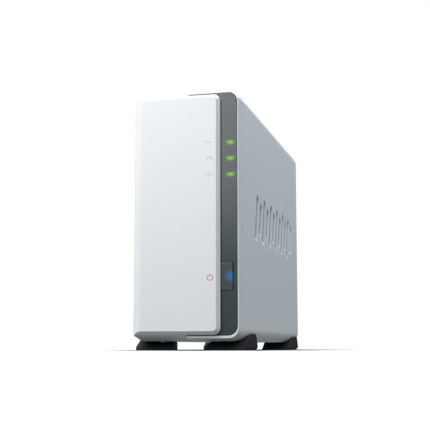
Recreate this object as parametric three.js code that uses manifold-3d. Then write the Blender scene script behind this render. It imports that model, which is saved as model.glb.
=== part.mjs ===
// Single-bay network storage enclosure: a slim upright case made of two moulded halves.
// Millimetres, +Z up, front towards -Y. Origin: middle of the footprint, on the floor.
import * as THREE from 'three';
import { mergeVertices } from 'three/addons/utils/BufferGeometryUtils.js';
import Module from 'manifold-3d';

const wasm = await Module();
wasm.setup();

// ---- driving dimensions -------------------------------------------------------------
const WIDTH = 71;
const DEPTH = 224;
const HEIGHT = 166;
const FLOOR_GAP = 5.7;
const WALL = 2.2;
const GAP = 0.3;
const CORNER_R = 8;
const LOWER_CHAMFER = 4.5;
const PARTING_X = 0.3;

const SIDE_X = WIDTH / 2;
const FRONT_Y = -DEPTH / 2;
const REAR_Y = DEPTH / 2;
const RIM_Y = -108;
const CREASE_Y = -101.7;
const RIM_INSET = 1.8;
const RIM_TOP_INSET = 1.2;

// Front plate: its flat face, and the larger outline behind its bevel.
const FACE = { right: 20.3, low: 11.84, high: 160.9, radius: 2 };
const PLATE = { right: 22.4, low: 9.6, high: 163.2, radius: 4.5, bevelY: -109.6, backY: -108.7 };
const PLATE_EDGE_R = 7;

const BEZEL = { right: 33, low: 9.2, high: 163.8, radius: 6, front: RIM_Y, back: -105.8 };
// The bezel's flange runs on to the left behind the front plate.
const BEZEL_FLANGE = { x: [-30, 6], z: [16, 157] };
const LIGHT_X = 28.7;
const LIGHTS_Z = [110.6, 120.95, 131.3];
const LIGHT_BAR = { width: 5.9, height: 2.3 };
const BUTTON = { left: 20, right: 30.3, low: 37.1, high: 54.9, radius: 1.5, travel: 0.8 };
const BUTTON_MID_Z = (BUTTON.low + BUTTON.high) / 2;
const BUTTON_LIGHT_X = 28.6;

const DRIVE = { x: [2.5, 28.6], y: [-86, 61], z: [34, 135.6] };
const BOARD = { x: [-31, -29.4], y: [12, 104], z: [14, 94] };
const BOARD_FACE = BOARD.x[1] + GAP;
const FRONT_BOARD = { x: [16, 31.5], y: [-96, -94.4], z: [14, 138] };
const FRONT_BOARD_SCREWS = [[19.5, 70], [19.5, 134]];
const LIGHT_BACK_Y = -98.2;
const PANEL_Y = [106.2, 108.2];
const FAN = { x: -1.5, z: 125, half: 30, y: [90.9, 105.9], bore: 28.5, screw: 25, hub: 13, blades: 7 };
const COVER_SCREW_X = 30.6;
const COVER_SCREWS_Z = [20, 150];

// ---- shape helpers ------------------------------------------------------------------
function solid(geometry) {
  const bare = geometry.clone();
  bare.deleteAttribute('normal');
  bare.deleteAttribute('uv');
  const merged = mergeVertices(bare, 1e-5);
  const vertProperties = new Float32Array(merged.attributes.position.array);
  const triVerts = new Uint32Array(merged.index.array);
  return new wasm.Manifold(new wasm.Mesh({ numProp: 3, vertProperties, triVerts }));
}

function geometryOf(body) {
  const mesh = body.getMesh();
  const geometry = new THREE.BufferGeometry();
  geometry.setAttribute('position', new THREE.BufferAttribute(mesh.vertProperties, 3));
  geometry.setIndex(new THREE.BufferAttribute(mesh.triVerts, 1));
  geometry.computeVertexNormals();
  return geometry;
}

function box(x, y, z) {
  const geometry = new THREE.BoxGeometry(x[1] - x[0], y[1] - y[0], z[1] - z[0]);
  geometry.translate((x[0] + x[1]) / 2, (y[0] + y[1]) / 2, (z[0] + z[1]) / 2);
  return solid(geometry);
}

// A flat outline swept along one axis. The outline's plane is (y, z), (x, z) or (x, y).
function prism(axis, shape, span, curveSegments = 6) {
  const depth = span[1] - span[0];
  const geometry = new THREE.ExtrudeGeometry(shape, { depth, bevelEnabled: false, curveSegments });
  if (axis === 'x') {
    geometry.applyMatrix4(new THREE.Matrix4().set(0, 0, 1, 0, 1, 0, 0, 0, 0, 1, 0, 0, 0, 0, 0, 1));
    geometry.translate(span[0], 0, 0);
  }
  if (axis === 'y') {
    geometry.rotateX(Math.PI / 2);
    geometry.translate(0, span[1], 0);
  }
  if (axis === 'z') {
    geometry.translate(0, 0, span[0]);
  }
  return solid(geometry);
}

// A round bar along one axis; centre holds the two other coordinates, in X, Y, Z order.
function rod(axis, radius, centre, span, sides = 16) {
  const geometry = new THREE.CylinderGeometry(radius, radius, span[1] - span[0], sides);
  const middle = (span[0] + span[1]) / 2;
  if (axis === 'x') {
    geometry.rotateZ(Math.PI / 2);
    geometry.translate(middle, centre[0], centre[1]);
  }
  if (axis === 'y') {
    geometry.translate(centre[0], middle, centre[1]);
  }
  if (axis === 'z') {
    geometry.rotateX(Math.PI / 2);
    geometry.translate(centre[0], centre[1], middle);
  }
  return solid(geometry);
}

function roundedRect(u, v, radius) {
  const shape = new THREE.Shape();
  shape.absarc(u[1] - radius, v[0] + radius, radius, -Math.PI / 2, 0, false);
  shape.absarc(u[1] - radius, v[1] - radius, radius, 0, Math.PI / 2, false);
  shape.absarc(u[0] + radius, v[1] - radius, radius, Math.PI / 2, Math.PI, false);
  shape.absarc(u[0] + radius, v[0] + radius, radius, Math.PI, Math.PI * 1.5, false);
  shape.closePath();
  return shape;
}

function polygon(points) {
  return new THREE.Shape(points.map((point) => new THREE.Vector2(point[0], point[1])));
}

// Sections are counter-clockwise outlines in (x, z), all with the same number of points.
function loftAlongY(sections) {
  const count = sections[0].points.length;
  const position = sections.flatMap((part) => part.points.flatMap((point) => [point.x, part.y, point.y]));
  const index = [];
  for (let ring = 0; ring < sections.length - 1; ring += 1) {
    for (let i = 0; i < count; i += 1) {
      const a = ring * count + i;
      const b = ring * count + ((i + 1) % count);
      index.push(a, a + count, b, b, a + count, b + count);
    }
  }
  const last = (sections.length - 1) * count;
  for (const face of THREE.ShapeUtils.triangulateShape(sections[0].points, [])) {
    index.push(face[0], face[1], face[2]);
  }
  for (const face of THREE.ShapeUtils.triangulateShape(sections[sections.length - 1].points, [])) {
    index.push(last + face[0], last + face[2], last + face[1]);
  }
  const geometry = new THREE.BufferGeometry();
  geometry.setAttribute('position', new THREE.Float32BufferAttribute(position, 3));
  geometry.setIndex(index);
  return solid(geometry);
}

function outline(x, z, radius, steps = 6) {
  const corners = [
    [x[1] - radius, z[0] + radius, -0.5],
    [x[1] - radius, z[1] - radius, 0],
    [x[0] + radius, z[1] - radius, 0.5],
    [x[0] + radius, z[0] + radius, 1],
  ];
  return corners.flatMap(([cx, cz, turn]) => Array.from({ length: steps + 1 }, (_, i) => {
    const angle = (turn + (0.5 * i) / steps) * Math.PI;
    return new THREE.Vector2(cx + radius * Math.cos(angle), cz + radius * Math.sin(angle));
  }));
}

// The case seen from the front: three rounded corners, and a chamfer at the lower left.
function caseOutline(inset, topInset = inset, steps = 6) {
  const half = SIDE_X - inset;
  const low = FLOOR_GAP + inset;
  const chamfer = LOWER_CHAMFER - inset * (2 - Math.SQRT2);
  const radius = CORNER_R - inset;
  const topMiddle = HEIGHT - topInset - radius;
  const corners = [
    [half - radius, low + radius, -0.5],
    [half - radius, topMiddle, 0],
    [radius - half, topMiddle, 0.5],
  ];
  const points = corners.flatMap(([cx, cz, turn]) => Array.from({ length: steps + 1 }, (_, i) => {
    const angle = (turn + (0.5 * i) / steps) * Math.PI;
    return new THREE.Vector2(cx + radius * Math.cos(angle), cz + radius * Math.sin(angle));
  }));
  points.push(new THREE.Vector2(-half, low + chamfer), new THREE.Vector2(chamfer - half, low));
  return points;
}

// Moves each side of a convex counter-clockwise polygon inwards by one distance.
function insetPolygon(points, distance) {
  const count = points.length;
  const edges = points.map((point, i) => {
    const next = points[(i + 1) % count];
    const length = Math.hypot(next[0] - point[0], next[1] - point[1]);
    const direction = [(next[0] - point[0]) / length, (next[1] - point[1]) / length];
    const start = [point[0] - direction[1] * distance, point[1] + direction[0] * distance];
    return { start, direction };
  });
  return edges.map((edge, i) => {
    const before = edges[(i + count - 1) % count];
    const cross = before.direction[0] * edge.direction[1] - before.direction[1] * edge.direction[0];
    const offset = [edge.start[0] - before.start[0], edge.start[1] - before.start[1]];
    const along = (offset[0] * edge.direction[1] - offset[1] * edge.direction[0]) / cross;
    return [before.start[0] + before.direction[0] * along, before.start[1] + before.direction[1] * along];
  });
}

// ---- the case halves ----------------------------------------------------------------
// Left half: the meeting of a plan outline, a front outline and a side outline, so that
// the front plate keeps straight horizontal edges above and below.
function leftForm(inset) {
  const plan = roundedRect(
    [-SIDE_X + inset, SIDE_X * 2],
    [FRONT_Y + inset, REAR_Y + DEPTH],
    PLATE_EDGE_R - inset,
  );
  const front = new THREE.Shape(caseOutline(inset));
  const profile = insetPolygon([
    [FRONT_Y, FACE.high],
    [FRONT_Y, FACE.low],
    [PLATE.bevelY, PLATE.low],
    [CREASE_Y, FLOOR_GAP],
    [REAR_Y + DEPTH, FLOOR_GAP],
    [REAR_Y + DEPTH, HEIGHT],
    [CREASE_Y, HEIGHT],
    [PLATE.bevelY, PLATE.high],
  ], inset);
  const rear = box([-SIDE_X, SIDE_X], [FRONT_Y - 1, REAR_Y + (inset > 0 ? 1 : 0)], [0, HEIGHT]);
  return prism('z', plan, [0, HEIGHT])
    .intersect(prism('y', front, [FRONT_Y - 1, REAR_Y + 2]))
    .intersect(prism('x', polygon(profile), [-SIDE_X, SIDE_X]))
    .intersect(rear);
}

// Air slots in a side wall: a slanted row of round-ended slots, long and short in turn.
const VENT = { from: -58, pitch: 12.4, count: 12, low: 73, high: 105, short: 9, halfWidth: 3.4, slant: 0.25 };

function ventSlots(wallX) {
  let slots = null;
  for (let i = 0; i < VENT.count; i += 1) {
    const middle = (VENT.low + VENT.high) / 2;
    const reach = (VENT.high - VENT.low) / 2 - VENT.halfWidth - (i % 2) * (VENT.short / 2);
    const shape = new THREE.Shape();
    shape.absarc(0, reach, VENT.halfWidth, 0, Math.PI, false);
    shape.absarc(0, -reach, VENT.halfWidth, Math.PI, Math.PI * 2, false);
    shape.closePath();
    const slot = prism('x', shape, wallX, 5)
      .rotate([(-VENT.slant * 180) / Math.PI, 0, 0])
      .translate([0, VENT.from + i * VENT.pitch, middle]);
    slots = slots ? slots.add(slot) : slot;
  }
  return slots;
}

const BOARD_SCREWS = [[20, 21], [20, 88], [84, 88]];
const BRACKET_SCREWS = [[-84, 25], [4, 25], [-84, 145], [54, 145]];
const PANEL_SCREWS = [[-14, 12], [-14, 159.6]];
const BRACKET_X = [0.9, 2.1];

function leftShell() {
  const half = box([-SIDE_X - 1, PARTING_X - GAP / 2], [FRONT_Y - 1, REAR_Y + 1], [0, HEIGHT + 1]);
  let body = leftForm(0).intersect(half).subtract(leftForm(WALL));
  const overhang = loftAlongY([
    { y: FRONT_Y, points: outline([-20, FACE.right], [FACE.low, FACE.high], FACE.radius) },
    { y: PLATE.bevelY, points: outline([-20, PLATE.right], [PLATE.low, PLATE.high], PLATE.radius) },
    { y: PLATE.backY, points: outline([-20, PLATE.right], [PLATE.low, PLATE.high], PLATE.radius) },
  ]);
  const keep = box([-10, SIDE_X], [FRONT_Y - 1, 0], [0, HEIGHT]);
  body = body.add(overhang.intersect(keep));
  for (const [y, z] of BOARD_SCREWS) {
    const post = rod('x', 3.2, [y, z], [-SIDE_X + 1, BOARD.x[0] - GAP]);
    body = body.add(post).subtract(rod('x', 1.5, [y, z], [-SIDE_X + 1.4, 0]));
  }
  for (const [y, z] of BRACKET_SCREWS) {
    const post = rod('x', 4, [y, z], [-SIDE_X + 1, BRACKET_X[0] - GAP]);
    body = body.add(post).subtract(rod('x', 1.6, [y, z], [-10, 5]));
  }
  for (const [x, z] of PANEL_SCREWS) {
    const toWall = z < HEIGHT / 2 ? [FLOOR_GAP + 1, z + 4] : [z - 3.5, HEIGHT - 1];
    const boss = box([x - 4, x + 4], [96, PANEL_Y[0] - GAP], toWall);
    body = body.add(boss).subtract(rod('y', 1.6, [x, z], [99, REAR_Y]));
  }
  return body.subtract(ventSlots([-SIDE_X - 1, -SIDE_X + 4]));
}

function coverSection(y, inset, topInset = inset) {
  return { y, points: caseOutline(inset, topInset) };
}

function rightShell() {
  const half = box([PARTING_X + GAP / 2, SIDE_X + 1], [FRONT_Y, REAR_Y + 1], [0, HEIGHT + 1]);
  const outer = loftAlongY([
    coverSection(RIM_Y, RIM_INSET, RIM_TOP_INSET),
    coverSection(CREASE_Y, 0),
    coverSection(REAR_Y, 0),
  ]);
  const recess = bezelForm(GAP, [RIM_Y - 5, BEZEL.back + GAP]);
  const hollow = loftAlongY([coverSection(BEZEL.back, WALL), coverSection(REAR_Y + 1, WALL)]);
  let body = outer.subtract(hollow).subtract(recess).intersect(half);
  for (const z of COVER_SCREWS_Z) {
    const tab = box([25.6, SIDE_X - 1], [PANEL_Y[1] + GAP, 110], [z - 6, z + 6]);
    const slot = box([20, COVER_SCREW_X], [REAR_Y - 8, REAR_Y], [z - 1.9, z + 1.9]);
    const slotEnd = rod('y', 1.9, [COVER_SCREW_X, z], [REAR_Y - 8, REAR_Y]);
    body = body.add(tab).subtract(slot).subtract(slotEnd);
  }
  return body.subtract(ventSlots([SIDE_X - 4, SIDE_X + 1]));
}

// ---- front: bezel, lights, button ------------------------------------------------------
function bezelForm(grow, y) {
  const wide = outline([-10, BEZEL.right + grow], [BEZEL.low - grow, BEZEL.high + grow], BEZEL.radius + grow);
  return loftAlongY([{ y: y[0], points: wide }, { y: y[1], points: wide }])
    .intersect(box([PARTING_X + GAP / 2, SIDE_X], [FRONT_Y - 9, REAR_Y], [0, HEIGHT]));
}

function frontBezel() {
  const y = [BEZEL.front, BEZEL.back];
  let body = bezelForm(0, y);
  body = body.add(box(BEZEL_FLANGE.x, y, BEZEL_FLANGE.z));
  for (const z of LIGHTS_Z) {
    const x = [LIGHT_X - LIGHT_BAR.width / 2, LIGHT_X + LIGHT_BAR.width / 2];
    body = body.subtract(box(x, [-120, -100], [z - LIGHT_BAR.height / 2, z + LIGHT_BAR.height / 2]));
  }
  const slot = roundedRect(
    [BUTTON.left - GAP, BUTTON.right + GAP],
    [BUTTON.low - GAP, BUTTON.high + GAP],
    BUTTON.radius + GAP,
  );
  body = body.subtract(prism('y', slot, [-120, -100]));
  for (const [x, z] of FRONT_BOARD_SCREWS) {
    body = body.add(rod('y', 3, [x, z], [BEZEL.back - 1, FRONT_BOARD.y[0] - GAP], 12));
    body = body.subtract(rod('y', 1.4, [x, z], [-103, -90], 10));
  }
  return body;
}

function indicatorLightPipe() {
  const halfWidth = LIGHT_BAR.width / 2 - GAP;
  const halfHeight = LIGHT_BAR.height / 2 - GAP;
  let body = box(
    [LIGHT_X - halfWidth, LIGHT_X + halfWidth],
    [-102, -100.6],
    [LIGHTS_Z[0] - halfHeight, LIGHTS_Z[2] + halfHeight],
  );
  for (const z of LIGHTS_Z) {
    body = body.add(box([LIGHT_X - halfWidth, LIGHT_X + halfWidth], [BEZEL.front - 0.1, LIGHT_BACK_Y],
      [z - halfHeight, z + halfHeight]));
  }
  return body;
}

const SWITCH = { x: 25.2, z: BUTTON_MID_Z, y: [-99.8, -96.3], half: 3 };

function powerButton() {
  const face = roundedRect([BUTTON.left, BUTTON.right], [BUTTON.low, BUTTON.high], BUTTON.radius);
  return prism('y', face, [BEZEL.front - 0.3, BEZEL.back - 0.4])
    .add(box([SWITCH.x - 2, SWITCH.x + 1.5], [-107, -101.5], [SWITCH.z - 2, SWITCH.z + 2]))
    .subtract(rod('y', 1.5, [BUTTON_LIGHT_X, BUTTON_MID_Z], [-120, -90], 12));
}

function powerSwitch() {
  const x = [SWITCH.x - SWITCH.half, SWITCH.x + SWITCH.half];
  return box(x, SWITCH.y, [SWITCH.z - SWITCH.half, SWITCH.z + SWITCH.half])
    .subtract(rod('y', 2, [SWITCH.x, SWITCH.z], [-110, -97], 12));
}

function frontBoard() {
  let body = box(FRONT_BOARD.x, FRONT_BOARD.y, FRONT_BOARD.z);
  for (const [x, z] of FRONT_BOARD_SCREWS) {
    body = body.subtract(rod('y', 1.5, [x, z], [-100, -90], 10));
  }
  return body;
}

function led(x, z) {
  return box([x - 1.6, x + 1.6], [LIGHT_BACK_Y + GAP, FRONT_BOARD.y[0] - GAP], [z - 0.8, z + 0.8]);
}

// The flat cable stands on edge and runs behind the front board, along the left wall, to the main board.
const RIBBON_Z = [30, 40];

function ribbonCable() {
  const centre = [[24, -93.6], [-27, -93.6], [-28.5, -92], [-28.5, 17]];
  const half = 0.3;
  const path = polygon([
    [centre[0][0], centre[0][1] - half],
    [centre[0][0], centre[0][1] + half],
    [centre[1][0], centre[1][1] + half],
    [centre[2][0] + half, centre[2][1]],
    [centre[3][0] + half, centre[3][1]],
    [centre[3][0] - half, centre[3][1]],
    [centre[2][0] - half, centre[2][1] - half],
    [centre[1][0] - half, centre[1][1] - half],
  ]);
  return prism('z', path, RIBBON_Z);
}

// ---- rear: panel, fan, sockets -------------------------------------------------------
const USB_Z = [[53, 67.4], [70, 84.4]];
const USB_X = [BOARD_FACE, -22];
const LAN = { x: [BOARD_FACE, -15.6], z: [32, 48.2] };
const DC = { x: [BOARD_FACE, -18.1], z: [17.5, 27] };
const PORT_END_Y = 108.5;
const RESET = { x: -27, z: 90.6 };

function grow(span, amount) {
  return [span[0] - amount, span[1] + amount];
}

// Hexagonal holes on a triangular grid inside the fan's circle.
function grilleHoles() {
  const pitch = 10.4;
  const radius = 5.2;
  const rows = 2;
  let holes = null;
  for (let row = -rows; row <= rows; row += 1) {
    for (let column = -rows; column <= rows; column += 1) {
      const x = (column + row / 2) * pitch;
      const z = row * pitch * Math.sin(Math.PI / 3);
      if (Math.hypot(x, z) + radius > FAN.bore) {
        continue;
      }
      const hole = rod('y', radius, [FAN.x + x, FAN.z + z], [PANEL_Y[0] - 1, PANEL_Y[1] + 1], 6);
      holes = holes ? holes.add(hole) : hole;
    }
  }
  return holes;
}

const PANEL_SLOTS = { x: [-8, 22], from: 30, pitch: 6.5, count: 8, halfHeight: 1.6 };

function rearPanel() {
  const through = [PANEL_Y[0] - 1, PANEL_Y[1] + 1];
  const edge = WALL + GAP;
  let body = prism('y', new THREE.Shape(caseOutline(edge)), PANEL_Y);
  body = body.subtract(grilleHoles());
  for (const z of USB_Z) {
    body = body.subtract(box(grow(USB_X, GAP), through, grow(z, GAP)));
  }
  body = body.subtract(box(grow(LAN.x, GAP), through, grow(LAN.z, GAP)));
  body = body.subtract(box(grow(DC.x, GAP), through, grow(DC.z, GAP)));
  body = body.subtract(rod('y', 1.6, [RESET.x, RESET.z], through, 12));
  for (const [x, z] of PANEL_SCREWS) {
    body = body.subtract(rod('y', 1.9, [x, z], through, 12));
  }
  for (const z of COVER_SCREWS_Z) {
    body = body.subtract(rod('y', 1.9, [COVER_SCREW_X, z], through, 12));
  }
  for (const [x, z] of fanCorners()) {
    body = body.subtract(rod('y', 1.8, [x, z], through, 12));
  }
  for (let i = 0; i < PANEL_SLOTS.count; i += 1) {
    const z = PANEL_SLOTS.from + i * PANEL_SLOTS.pitch;
    const slot = roundedRect(PANEL_SLOTS.x, [z - PANEL_SLOTS.halfHeight, z + PANEL_SLOTS.halfHeight], 1.5);
    body = body.subtract(prism('y', slot, through, 3));
  }
  const lockSlot = roundedRect([22, 29], [12.5, 15.5], 0.6);
  return body.subtract(prism('y', lockSlot, through, 2));
}

function fanCorners() {
  const sides = [-FAN.screw, FAN.screw];
  return sides.flatMap((x) => sides.map((z) => [FAN.x + x, FAN.z + z]));
}

const FAN_STRUT_Y = [104.2, FAN.y[1]];

function fanFrame() {
  const square = roundedRect(grow([FAN.x, FAN.x], FAN.half), grow([FAN.z, FAN.z], FAN.half), 3);
  let body = prism('y', square, FAN.y, 3)
    .subtract(rod('y', FAN.bore, [FAN.x, FAN.z], grow(FAN.y, 1), 40));
  body = body.add(rod('y', 14, [FAN.x, FAN.z], FAN_STRUT_Y, 24));
  for (let i = 0; i < 4; i += 1) {
    const strut = box([10, FAN.bore + 1], FAN_STRUT_Y, [-1.5, 1.5])
      .rotate([0, 45 + i * 90, 0])
      .translate([FAN.x, 0, FAN.z]);
    body = body.add(strut);
  }
  for (const [x, z] of fanCorners()) {
    body = body.subtract(rod('y', 1.8, [x, z], grow(FAN.y, 1), 12));
  }
  return body.subtract(rod('y', 1.8, [FAN.x, FAN.z], grow(FAN.y, 1), 12));
}

function fanRotor() {
  let body = rod('y', FAN.hub, [0, 0], [91.5, 103.7], 28);
  for (let i = 0; i < FAN.blades; i += 1) {
    const blade = box([FAN.hub - 1.5, 27], [-5.4, 5.4], [-0.6, 0.6])
      .rotate([38, 0, 0])
      .translate([0, 97.6, 0])
      .rotate([0, (i * 360) / FAN.blades, 0]);
    body = body.add(blade);
  }
  return body.subtract(rod('y', 1.8, [0, 0], [92.6, 110], 12)).translate([FAN.x, 0, FAN.z]);
}

function fanCable() {
  const route = new THREE.CatmullRomCurve3([
    new THREE.Vector3(-24, 90.4, 98),
    new THREE.Vector3(-24, 86, 98),
    new THREE.Vector3(-24.5, 80, 97),
    new THREE.Vector3(-25, 76, 93),
    new THREE.Vector3(-25, 75.4, 88),
  ]);
  const section = new THREE.Shape();
  section.absarc(0, 0, 1.2, 0, Math.PI * 2, false);
  const geometry = new THREE.ExtrudeGeometry(section, { steps: 12, extrudePath: route, curveSegments: 4 });
  const plug = box([BOARD_FACE, -23.4], [71.6, 79.2], [81, 87]);
  return solid(geometry).add(plug).add(box([-26.2, -23.8], [74.2, 76.6], [86, 88.5]));
}

// Sockets are hollow metal shells, open to the rear. A USB socket holds a contact tongue.
const USB_SHELL = { front: 91, cavityFront: 94, sheet: 1, tongueX: [-26.3, -24.4], tongueEnd: 106.6 };

function usbPort(z) {
  return box(USB_X, [USB_SHELL.front, PORT_END_Y], z)
    .subtract(box(grow(USB_X, -USB_SHELL.sheet), [USB_SHELL.cavityFront, REAR_Y], grow(z, -USB_SHELL.sheet)))
    .add(box(USB_SHELL.tongueX, [USB_SHELL.cavityFront - 1, USB_SHELL.tongueEnd], grow(z, -2)));
}

// The network socket has a wide opening for the plug and a narrower one for its latch.
function lanPort() {
  const plug = box([-27, -18.3], [93, REAR_Y], grow(LAN.z, -2.2));
  const latch = box([-19, -16.8], [99, REAR_Y], grow(LAN.z, -5.2));
  return box(LAN.x, [87, PORT_END_Y], LAN.z).subtract(plug).subtract(latch);
}

function dcInlet() {
  const middle = [(DC.x[0] + DC.x[1]) / 2, (DC.z[0] + DC.z[1]) / 2];
  return box(DC.x, [95, PORT_END_Y], DC.z)
    .subtract(rod('y', 3.2, middle, [98, REAR_Y], 20))
    .add(rod('y', 1, middle, [97, 106.5], 10));
}

function resetSwitch() {
  return box([BOARD_FACE, -24.6], [99, 104.8], [88, 93.2])
    .subtract(rod('y', 1.6, [RESET.x, RESET.z], [101.4, REAR_Y], 12));
}

// ---- main board and what sits on it -----------------------------------------------------
function mainBoard() {
  let body = box(BOARD.x, BOARD.y, BOARD.z);
  for (const [y, z] of BOARD_SCREWS) {
    body = body.subtract(rod('x', 1.5, [y, z], [-40, 0], 12));
  }
  return body;
}

const HEATSINK = { y: [22, 54], z: [38, 76], base: [-26.6, -24], finTip: -12.5, fins: 9 };

function heatsink() {
  const pitch = (HEATSINK.z[1] - HEATSINK.z[0]) / (HEATSINK.fins - 0.4);
  let body = box(HEATSINK.base, HEATSINK.y, HEATSINK.z);
  for (let i = 0; i < HEATSINK.fins; i += 1) {
    const low = HEATSINK.z[0] + i * pitch;
    body = body.add(box([HEATSINK.base[0] + 1, HEATSINK.finTip], HEATSINK.y, [low, low + pitch * 0.4]));
  }
  return body;
}

const RISER = { x: [-28.6, 18], y: [68.2, 69.8], z: [40, 92] };

function riserSlot() {
  return box([BOARD_FACE, -22], [65.6, 72.4], [41, 80])
    .subtract(box([RISER.x[0] - GAP, 0], grow(RISER.y, GAP), [30, 100]));
}

function sataConnector() {
  return box([6, 12], [DRIVE.y[1] + 0.5, RISER.y[0] - GAP], [42, 88])
    .subtract(box([7.5, 9.3], [DRIVE.y[1] - 5, RISER.y[0] - 2], [44, 60]))
    .subtract(box([7.5, 9.3], [DRIVE.y[1] - 5, RISER.y[0] - 2], [63, 86]));
}

// ---- drive bracket ------------------------------------------------------------------
function driveBracket() {
  const sheet = BRACKET_X[1] - BRACKET_X[0];
  const flangeX = [BRACKET_X[0], 24];
  const y = [DRIVE.y[0] + 2, DRIVE.y[1]];
  const z = grow(DRIVE.z, 0.4);
  let body = box(BRACKET_X, y, grow(z, sheet))
    .add(box(flangeX, y, [z[0] - sheet, z[0]]))
    .add(box(flangeX, y, [z[1], z[1] + sheet]));
  for (const [screwY, screwZ] of BRACKET_SCREWS) {
    const reach = screwZ < HEIGHT / 2 ? [screwZ - 5, z[0]] : [z[1], screwZ + 5];
    body = body.add(box(BRACKET_X, grow([screwY, screwY], 5), reach));
    body = body.subtract(rod('x', 1.9, [screwY, screwZ], grow(BRACKET_X, 1), 12));
  }
  const slots = [-62, -18, 24];
  for (const slotY of slots) {
    const hole = roundedRect([slotY - 4, slotY + 4], [7.4, 10.6], 1.5);
    const tall = prism('z', polygonSwap(hole), [0, HEIGHT], 3);
    body = body.subtract(tall);
  }
  return body;
}

// Turns an outline drawn as (y, x) into (x, y) without changing its winding.
function polygonSwap(shape) {
  const points = shape.getPoints(3).map((point) => [point.y, point.x]);
  return polygon(points.reverse());
}

// ---- feet ---------------------------------------------------------------------------
const FOOT = {
  outer: 34.4,
  outerTop: 35.3,
  height: 10.6,
  y: [-104, -58.6],
  shiftToRear: 169,
  frontInner: [9.2, 20],
  rearInner: [13.5, 13.5],
};
const FOOT_PROFILE = [
  [FOOT.y[0], 0],
  [FOOT.y[1], 0],
  [-62.4, 6.7],
  [-65.5, 9.8],
  [-69, FOOT.height],
  [-82, FOOT.height],
  [-86.5, 9.6],
  [-89.5, 7.2],
];

// A flared foot whose wing wraps up round the case's lower corner. The inner side is given
// by its X at the foot's front end and at its rear end.
function foot(side, shiftY, inner) {
  const plan = polygon([
    [inner[0], FOOT.y[0]],
    [SIDE_X, FOOT.y[0]],
    [SIDE_X, FOOT.y[1]],
    [inner[1], FOOT.y[1]],
  ]);
  const outerSlope = polygon([[0, 0], [FOOT.outer, 0], [FOOT.outerTop, FOOT.height], [0, FOOT.height]]);
  const caseCorner = prism('y', new THREE.Shape(caseOutline(-GAP)), [-DEPTH, DEPTH]);
  const block = prism('x', polygon(FOOT_PROFILE), [0, SIDE_X])
    .intersect(prism('z', plan, [0, FOOT.height]))
    .intersect(prism('y', outerSlope, [-DEPTH, DEPTH]))
    .translate([0, shiftY, 0]);
  return (side < 0 ? block.mirror([1, 0, 0]) : block).subtract(caseCorner);
}

// ---- fasteners ----------------------------------------------------------------------
// A pan-head screw along one axis: the shank spans `shank`, the head follows on towards +axis.
function screw(axis, centre, shank, headRadius = 2.6, shankRadius = 1.25, headLength = 1.6) {
  const head = [shank[1], shank[1] + headLength];
  const recess = rod(axis, headRadius * 0.42, centre, [head[1] - 0.7, head[1] + 1], 6);
  return rod(axis, shankRadius, centre, shank, 8)
    .add(rod(axis, headRadius, centre, [head[0] - 0.01, head[1]], 12))
    .subtract(recess);
}

// ---- materials ------------------------------------------------------------------------
function material(color, roughness, metalness = 0) {
  return new THREE.MeshStandardMaterial({ color, roughness, metalness });
}

const whitePlastic = material(0xd8dcde, 0.35);
const darkPlastic = material(0x4a5054, 0.4);
const blackPlastic = material(0x17191a, 0.6);
const boardGreen = material(0x1d5a3a, 0.45);
const chipBlack = material(0x1c1d1f, 0.5);
const aluminium = material(0xb8bcc0, 0.35, 1);
const sheetSteel = material(0x9ea3a6, 0.4, 1);
const screwSteel = material(0x8d9194, 0.3, 1);
const clearGreen = material(0x7fc24a, 0.2);
const clearBlue = material(0x3a8ac8, 0.2);
const cableWhite = material(0xe4e4de, 0.6);
const brassCell = material(0xc0c2c0, 0.25, 1);

// ---- assembly ---------------------------------------------------------------------------
const enclosure = new THREE.Group();

function place(name, body, look) {
  const mesh = new THREE.Mesh(geometryOf(body), look);
  mesh.name = name;
  enclosure.add(mesh);
}

place('left_shell', leftShell(), whitePlastic);
place('right_shell', rightShell(), whitePlastic);
place('front_bezel', frontBezel(), darkPlastic);
place('indicator_light_pipe', indicatorLightPipe(), clearGreen);
place('power_button', powerButton(), darkPlastic);
const buttonLightSpan = [BEZEL.front - 0.4, -101.5];
place('power_light_pipe', rod('y', 1.2, [BUTTON_LIGHT_X, BUTTON_MID_Z], buttonLightSpan, 10), clearBlue);
place('switch_plunger', rod('y', 1.6, [SWITCH.x, SWITCH.z], [-101.2, -98.1], 10), blackPlastic);
place('power_switch', powerSwitch(), chipBlack);
place('front_board', frontBoard(), boardGreen);
['disk_led', 'network_led', 'status_led'].forEach((name, i) => {
  place(name, led(LIGHT_X, LIGHTS_Z[i]), clearGreen);
});
place('power_led', box([29.6, 31.2], [-97.9, -96.3], [BUTTON_MID_Z - 0.8, BUTTON_MID_Z + 0.8]), clearBlue);
FRONT_BOARD_SCREWS.forEach(([x, z], i) => {
  const shank = [-102, FRONT_BOARD.y[1] + GAP];
  place(`front_board_screw_${i + 1}`, screw('y', [x, z], shank, 2.2, 1.1), screwSteel);
});
place('ribbon_cable', ribbonCable(), cableWhite);

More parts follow.
